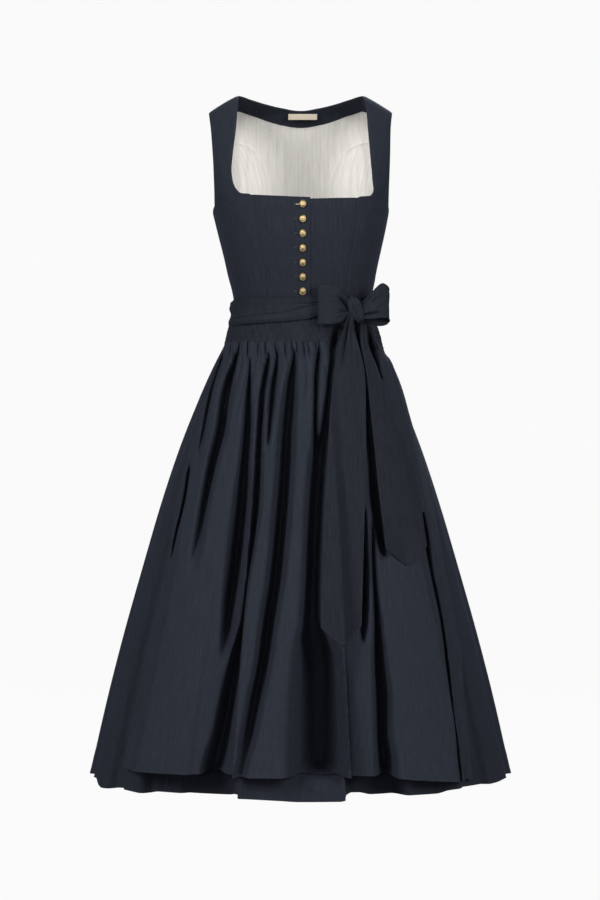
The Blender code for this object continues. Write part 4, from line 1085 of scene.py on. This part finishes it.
# Grooves where a tail is still folded under the knot: share across, the heights where it fades, depth
tailGrooves = {
    "longTail": [(-0.5, -452, -505, 9.0), (0.35, -430, -500, 1.8)],
    "shortTail": [(0.5, -430, -490, 1.5)],
}


def frontDepth():  # a table of the foremost cloth by x and height, which the tails lie on
    z = np.linspace(tails["restsFrom"], tails["restsTo"], 60)[:, None]
    around = np.linspace(-0.15, 1.0, 500)[None, :]
    share = (around - apronEdges["left"](z)) / (apronEdges["right"](z) - apronEdges["left"](z))
    onApron = (share > 0) & (share < 1)
    lift, ahead = apronLift(around, z, share, True)
    crest = skirtForm(around, z, lift + dress["apronWall"], ahead)
    bare = skirtForm(around, z, skirtLift(around, z) + dress["skirtWall"])
    points = np.where(onApron[..., None], crest, bare)
    xs = np.linspace(-20, 240, 131)
    depth = np.stack([np.interp(xs, row[:, 0], row[:, 1]) for row in points])
    widened = np.min([np.roll(depth, shift, axis=1) for shift in range(-5, 6)], axis=0)
    smooth = sum(np.roll(widened, shift, axis=1) for shift in range(-3, 4)) / 7
    return z[:, 0], xs, smooth


def makeTail(name, node, tail, seed, depthTable):
    table = tails[tail]
    line = columns("x halfWidth lift", table)
    zs, xs, depth = depthTable
    top, low = table[0][0], table[-1][0]
    down = np.linspace(0, 1, 130)[:, None]
    across = np.linspace(-1, 1, 44)[None, :]
    z = top + (low - top) * down ** 1.15
    x = line["x"](z) + across * line["halfWidth"](z)
    index = np.interp(-np.minimum(z, tails["restsFrom"]), -zs, range(len(zs)))
    column = np.interp(x, xs, range(len(xs)))
    i, j = np.floor(index).astype(int), np.floor(column).astype(int)
    i, j = np.minimum(i, len(zs) - 2), np.minimum(j, len(xs) - 2)
    a, b = index - i, column - j
    y = (depth[i, j] * (1 - a) * (1 - b) + depth[i + 1, j] * a * (1 - b)
         + depth[i, j + 1] * (1 - a) * b + depth[i + 1, j + 1] * a * b)
    gathered = tails["gather"] * softNoise(across * 2.6 + seed, z / 60, seed) * (1 - ease(-z, 415, 520))
    for share, start, end, sunk in tailGrooves[tail]:
        groove = bump(across, share, tails["grooveWidth"] / line["halfWidth"](z))
        gathered = gathered - sunk * groove * (1 - ease(-z, -start, -end))
    soft = tails["soft"] * softNoise(across * 1.4, z / 85, seed + 1)
    hemmed = tails["hemStep"] * (ease(np.abs(across), 0.80, 0.86) + ease(-z, -low - 14, -low - 11))
    y = y - line["lift"](z) - tails["standOff"] - gathered - soft - hemmed
    point = tails["point"] * (1 - np.abs(across)) * ease(down, 0.75, 1.0) ** 2
    piece = cloth(name, placed(x, y, z - point), dress["tieWall"], finishes["tie"])
    standFor(piece, "apron_cloth", node)
    length = (top - low + tails["point"]) * mm
    meshArea(piece) / length


makeLoop("bowLoopLeftCloth", "bow_loop_left", "loopLeft", 101)
makeLoop("bowLoopRightCloth", "bow_loop_right", "loopRight", 107)
makeKnot()
depthTable = frontDepth()
makeTail("bowTailLongCloth", "bow_tail_long", "longTail", 113, depthTable)
makeTail("bowTailShortCloth", "bow_tail_short", "shortTail", 127, depthTable)
print("bow made")


# Buttons, buttonholes, label and stitches

buttons = {
    "count": 7, "radius": 6.7, "narrow": 0.87, "x": 4.0, "first": -202.5, "pitch": 25.0, "turn": 0.9,
    "shankRadius": 2.2, "shank": 1.4, "rimAt": 1.9, "rise": 3.0, "sag": 0.5,
    "beads": 22, "bead": 0.62, "beadsAt": 0.93, "beadHeight": 3.05,
    "holeAt": 6.5, "holeRadius": 4.6, "holeScale": (1.62, 0.33, 0.8), "holeSunk": 0.35, "thread": 0.55,
    "threadEndAt": 9.0, "threadEnd": (0.7, 6.5), "threadLean": 84.0, "threadDrop": 0.8, "threadLift": 0.6,
}


def placeOn(piece, origin, normal, sideways=(1, 0, 0)):  # moves a mesh so that its Z stands off the cloth
    z = Vector(normal).normalized()
    x = Vector(sideways)
    x = (x - z * x.dot(z)).normalized()
    y = z.cross(x)
    turn = Matrix((x, y, z)).transposed().to_4x4()
    piece.data.transform(Matrix.Translation(Vector(origin) * mm) @ turn)


def copyOf(master, name):
    piece = master.copy()
    piece.data = master.data.copy()
    piece.name = piece.data.name = name
    bpy.context.collection.objects.link(piece)
    return piece


def joined(parts, name):
    deselect()
    for part in parts:
        part.select_set(True)
    bpy.context.view_layer.objects.active = parts[0]
    bpy.ops.object.join()
    parts[0].name = parts[0].data.name = name
    return parts[0]


def makeButtonMaster():
    deselect()
    tall = buttons["shank"] * mm
    bpy.ops.mesh.primitive_cylinder_add(vertices=48, radius=buttons["shankRadius"] * mm, depth=tall,
                                        location=(0, 0, tall / 2))
    shank = bpy.context.active_object
    bpy.ops.mesh.primitive_uv_sphere_add(segments=48, ring_count=24, radius=1)
    dome = bpy.context.active_object
    x, y, z = vertexPlaces(dome.data).T
    reach, angle = np.hypot(x, y), np.arctan2(y, x)
    radius = buttons["radius"]
    petals = 0.22 * np.cos(angle * 6) * bump(reach, 0.42, 0.16) + 0.30 * bump(reach, 0.0, 0.13)
    rim = 0.42 * bump(reach, 0.90, 0.07) - 0.30 * bump(reach, 0.76, 0.06)
    height = buttons["rimAt"] + np.where(z > 0, buttons["rise"] * z + petals + rim, buttons["sag"] * z)
    moveVertices(dome.data, placed(x * radius, y * radius, height))
    parts = [shank, dome]
    for number in range(buttons["beads"]):  # a beaded border
        turn = 2 * math.pi * number / buttons["beads"]
        reach = buttons["beadsAt"] * radius * mm
        place = (reach * math.cos(turn), reach * math.sin(turn), buttons["beadHeight"] * mm)
        bpy.ops.mesh.primitive_uv_sphere_add(segments=10, ring_count=6, radius=buttons["bead"] * mm,
                                             location=place)
        parts.append(bpy.context.active_object)
    button = joined(parts, "button")
    bpy.ops.object.transform_apply(location=True, rotation=True, scale=True)
    bpy.ops.object.shade_smooth_by_angle(angle=math.radians(40))
    layFlat(button.data, vertexPlaces(button.data)[cornerVertices(button.data), :2])
    button.data.materials.append(finishes["brass"])
    return button


def sewOn(piece, x, z, lift):  # stands a mesh on the bodice where x, z is seen
    around, run = bodicePlace(x, z)
    placeOn(piece, bodicePoint(around, run, lift), bodiceNormal(around, run))


def makeButtonhole(z, lift):  # a ring of stitches beside the button
    deselect()
    bpy.ops.mesh.primitive_torus_add(major_segments=40, minor_segments=8,
                                     major_radius=buttons["holeRadius"] * mm,
                                     minor_radius=buttons["thread"] * mm)
    hole = bpy.context.active_object
    hole.data.transform(Matrix.Diagonal((*buttons["holeScale"], 1)))
    sewOn(hole, buttons["x"] - buttons["holeAt"], z, lift - buttons["holeSunk"])
    hole.data.materials.append(finishes["thread"])
    return hole


def makeThreadEnd(lift):  # the end of pale thread beside the top button
    deselect()
    radius, length = buttons["threadEnd"]
    bpy.ops.mesh.primitive_cylinder_add(vertices=10, radius=radius * mm, depth=length * mm)
    thread = bpy.context.active_object
    thread.data.transform(Matrix.Rotation(math.radians(buttons["threadLean"]), 4, "Y"))
    z = buttons["first"] - buttons["threadDrop"]
    sewOn(thread, buttons["x"] - buttons["threadEndAt"], z, lift + buttons["threadLift"])
    thread.data.materials.append(finishes["paleThread"])
    return thread


def makeButtons():
    master = makeButtonMaster()
    lift = (dress["bodiceWall"] + dress["layerGap"]) * 2
    threads = []
    for number in range(buttons["count"]):
        z = buttons["first"] - number * buttons["pitch"]
        button = copyOf(master, f"goldButton{number + 1}")
        turn = Matrix.Rotation(buttons["turn"] * number, 4, "Z")
        button.data.transform(Matrix.Diagonal((buttons["narrow"], 1, 1, 1)) @ turn)
        sewOn(button, buttons["x"], z, lift)
        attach(button, "root")
        standFor(button, "button_brass", f"button_{number + 1}")
        threads.append(makeButtonhole(z, lift))
    bpy.data.objects.remove(master)
    row = joined(threads + [makeThreadEnd(lift)], "buttonholeStitches")
    bpy.ops.object.shade_smooth()
    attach(row, "root")


label = {"topGap": 2.4, "footGap": 3.2, "standOff": 0.35, "curve": 0.00018, "turnIn": 0.35, "wall": 0.6}


def makeLabel():
    corners = np.array([vertex.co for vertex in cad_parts["label"].data.vertices]) / mm
    left, front, foot = corners.min(axis=0)
    right, top = corners[:, 0].max(), corners[:, 2].max()
    x = np.linspace(left, right, 40)[None, :]
    down = np.linspace(0, 1, 14)[:, None]
    z = top - label["topGap"] + (foot + label["footGap"] + label["topGap"] - top) * down
    turnIn = label["turnIn"] * (bump(down, 0.0, 0.06) + bump(down, 1.0, 0.06))
    y = front + label["standOff"] + label["curve"] * (x - (left + right) / 2) ** 2 + turnIn
    piece = cloth("creamLabelCloth", placed(x, y, z)[:, ::-1], label["wall"], finishes["label"])
    standFor(piece, "label_cloth", "label")


def makeStitches():
    deselect()
    bpy.ops.mesh.primitive_uv_sphere_add(segments=8, ring_count=5, radius=mm)
    master = bpy.context.active_object
    thick = stitches["thickness"] / 2
    master.data.transform(Matrix.Diagonal((stitches["length"] / 2, thick, thick, 1)))
    master.data.materials.append(finishes["thread"])
    made = []
    for height in stitches["heights"]:
        share = (np.arange(stitches["perRow"]) + 0.5) / stitches["perRow"]
        starts = apronPoint(share, height, dress["apronWall"] - thick)
        ends = apronPoint(share + 0.002, height, dress["apronWall"])
        for start, end in zip(starts, ends):
            made.append(copyOf(master, "stitch"))
            along = Vector(end - start).normalized()
            placeOn(made[-1], start, along.cross(Vector((0, 0, 1))), along)
    bpy.data.objects.remove(master)
    row = joined(made, "shirringStitches")
    bpy.ops.object.shade_smooth()
    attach(row, "root")


makeButtons()
makeLabel()
makeStitches()
print("buttons, label and stitches made")


# Floor, light and camera

studio = {
    "floorDrop": 1.62, "wallAt": 9.5, "bendRadius": 2.5, "wallHeight": 5.0,
    "key": ((-2.4, -3.0, 0.7), 1.7, 108.0), "fill": ((2.4, -3.0, 0.5), 1.7, 96.0),
    "ahead": ((-0.3, -4.2, -0.9), 1.4, 20.0), "back": ((0.6, 3.6, 1.1), 2.2, 90.0),
    "neck": ((0.0, -1.6, 1.1), 0.5, 0.6), "neckAim": (0.0, 0.08, -0.06), "neckSpread": 30.0,
    "world": 0.15, "glow": 0.951, "aim": (0.0, 0.0, -0.65),
    "sky": (0.97, 0.975, 1.0, 1.0), "film": 36.0, "lens": 100.0, "farthest": 50.0,
    "cameraAt": (0.0, -4.5, -0.5166), "cameraAim": (-0.0009, 0.0, -0.6354),
}


def makeStage():  # a round pale floor that bends up into a wall, wide enough for a camera on every side
    f = Finish("paleStudio")
    cloud = f.noise(f.objectPlace(), 0.6, 2.0)
    material = f.surface({
        "Base Color": f.mix(cloud, (0.012, 0.012, 0.012, 1), (0.014, 0.014, 0.014, 1)),
        "Roughness": 1.0, "Specular IOR Level": 0.0,
        "Emission Color": (1.0, 1.0, 1.0, 1), "Emission Strength": studio["glow"],
    })
    deselect()
    bpy.ops.mesh.primitive_grid_add(x_subdivisions=96, y_subdivisions=40, size=2)
    stage = bpy.context.active_object
    stage.name = stage.data.name = "paleFloor"
    bend, low = studio["bendRadius"], -studio["floorDrop"]
    flat = studio["wallAt"] - bend
    arc = bend * math.pi / 2
    total = flat + arc + studio["wallHeight"]
    for vertex in stage.data.vertices:
        along = (vertex.co.y + 1) / 2 * total
        turn = min(max(along - flat, 0.0), arc) / bend
        reach = min(along, flat) + bend * math.sin(turn)
        up = bend * (1 - math.cos(turn)) + max(along - flat - arc, 0.0)
        angle = vertex.co.x * math.pi
        vertex.co = (reach * math.sin(angle), reach * math.cos(angle), low + up)
    bpy.ops.object.shade_smooth()
    stage.data.materials.append(material)
    stage.visible_diffuse = False  # its white isn't thrown back into the folds
    stage.visible_glossy = False


def lookAt(thing, aim):
    thing.rotation_euler = (Vector(aim) - thing.location).to_track_quat("-Z", "Y").to_euler()


def makeLight(name, place, size, power, aim, spread=180.0):
    data = bpy.data.lights.new(name, "AREA")
    data.shape = "DISK"
    data.size = size
    data.energy = power
    data.spread = math.radians(spread)
    lamp = bpy.data.objects.new(name, data)
    bpy.context.collection.objects.link(lamp)
    lamp.visible_camera = False
    lamp.location = place
    lookAt(lamp, aim)


def makeCamera():
    data = bpy.data.cameras.new("photoCamera")
    data.sensor_fit = "VERTICAL"
    data.sensor_height = studio["film"]
    data.lens = studio["lens"]
    data.clip_end = studio["farthest"]
    camera = bpy.data.objects.new("photoCamera", data)
    bpy.context.collection.objects.link(camera)
    camera.location = studio["cameraAt"]
    lookAt(camera, studio["cameraAim"])
    bpy.context.scene.camera = camera


makeStage()
for light in ("key", "fill", "ahead", "back"):
    makeLight(light + "Light", *studio[light], studio["aim"])
makeLight("neckLight", *studio["neck"], studio["neckAim"], studio["neckSpread"])
world = bpy.data.worlds.new("paleStudio")
world.use_nodes = True
sky = world.node_tree.nodes["Background"].inputs
sky["Color"].default_value = studio["sky"]
sky["Strength"].default_value = studio["world"]
bpy.context.scene.world = world
bpy.context.scene.view_settings.view_transform = "Standard"
makeCamera()
print("studio made")
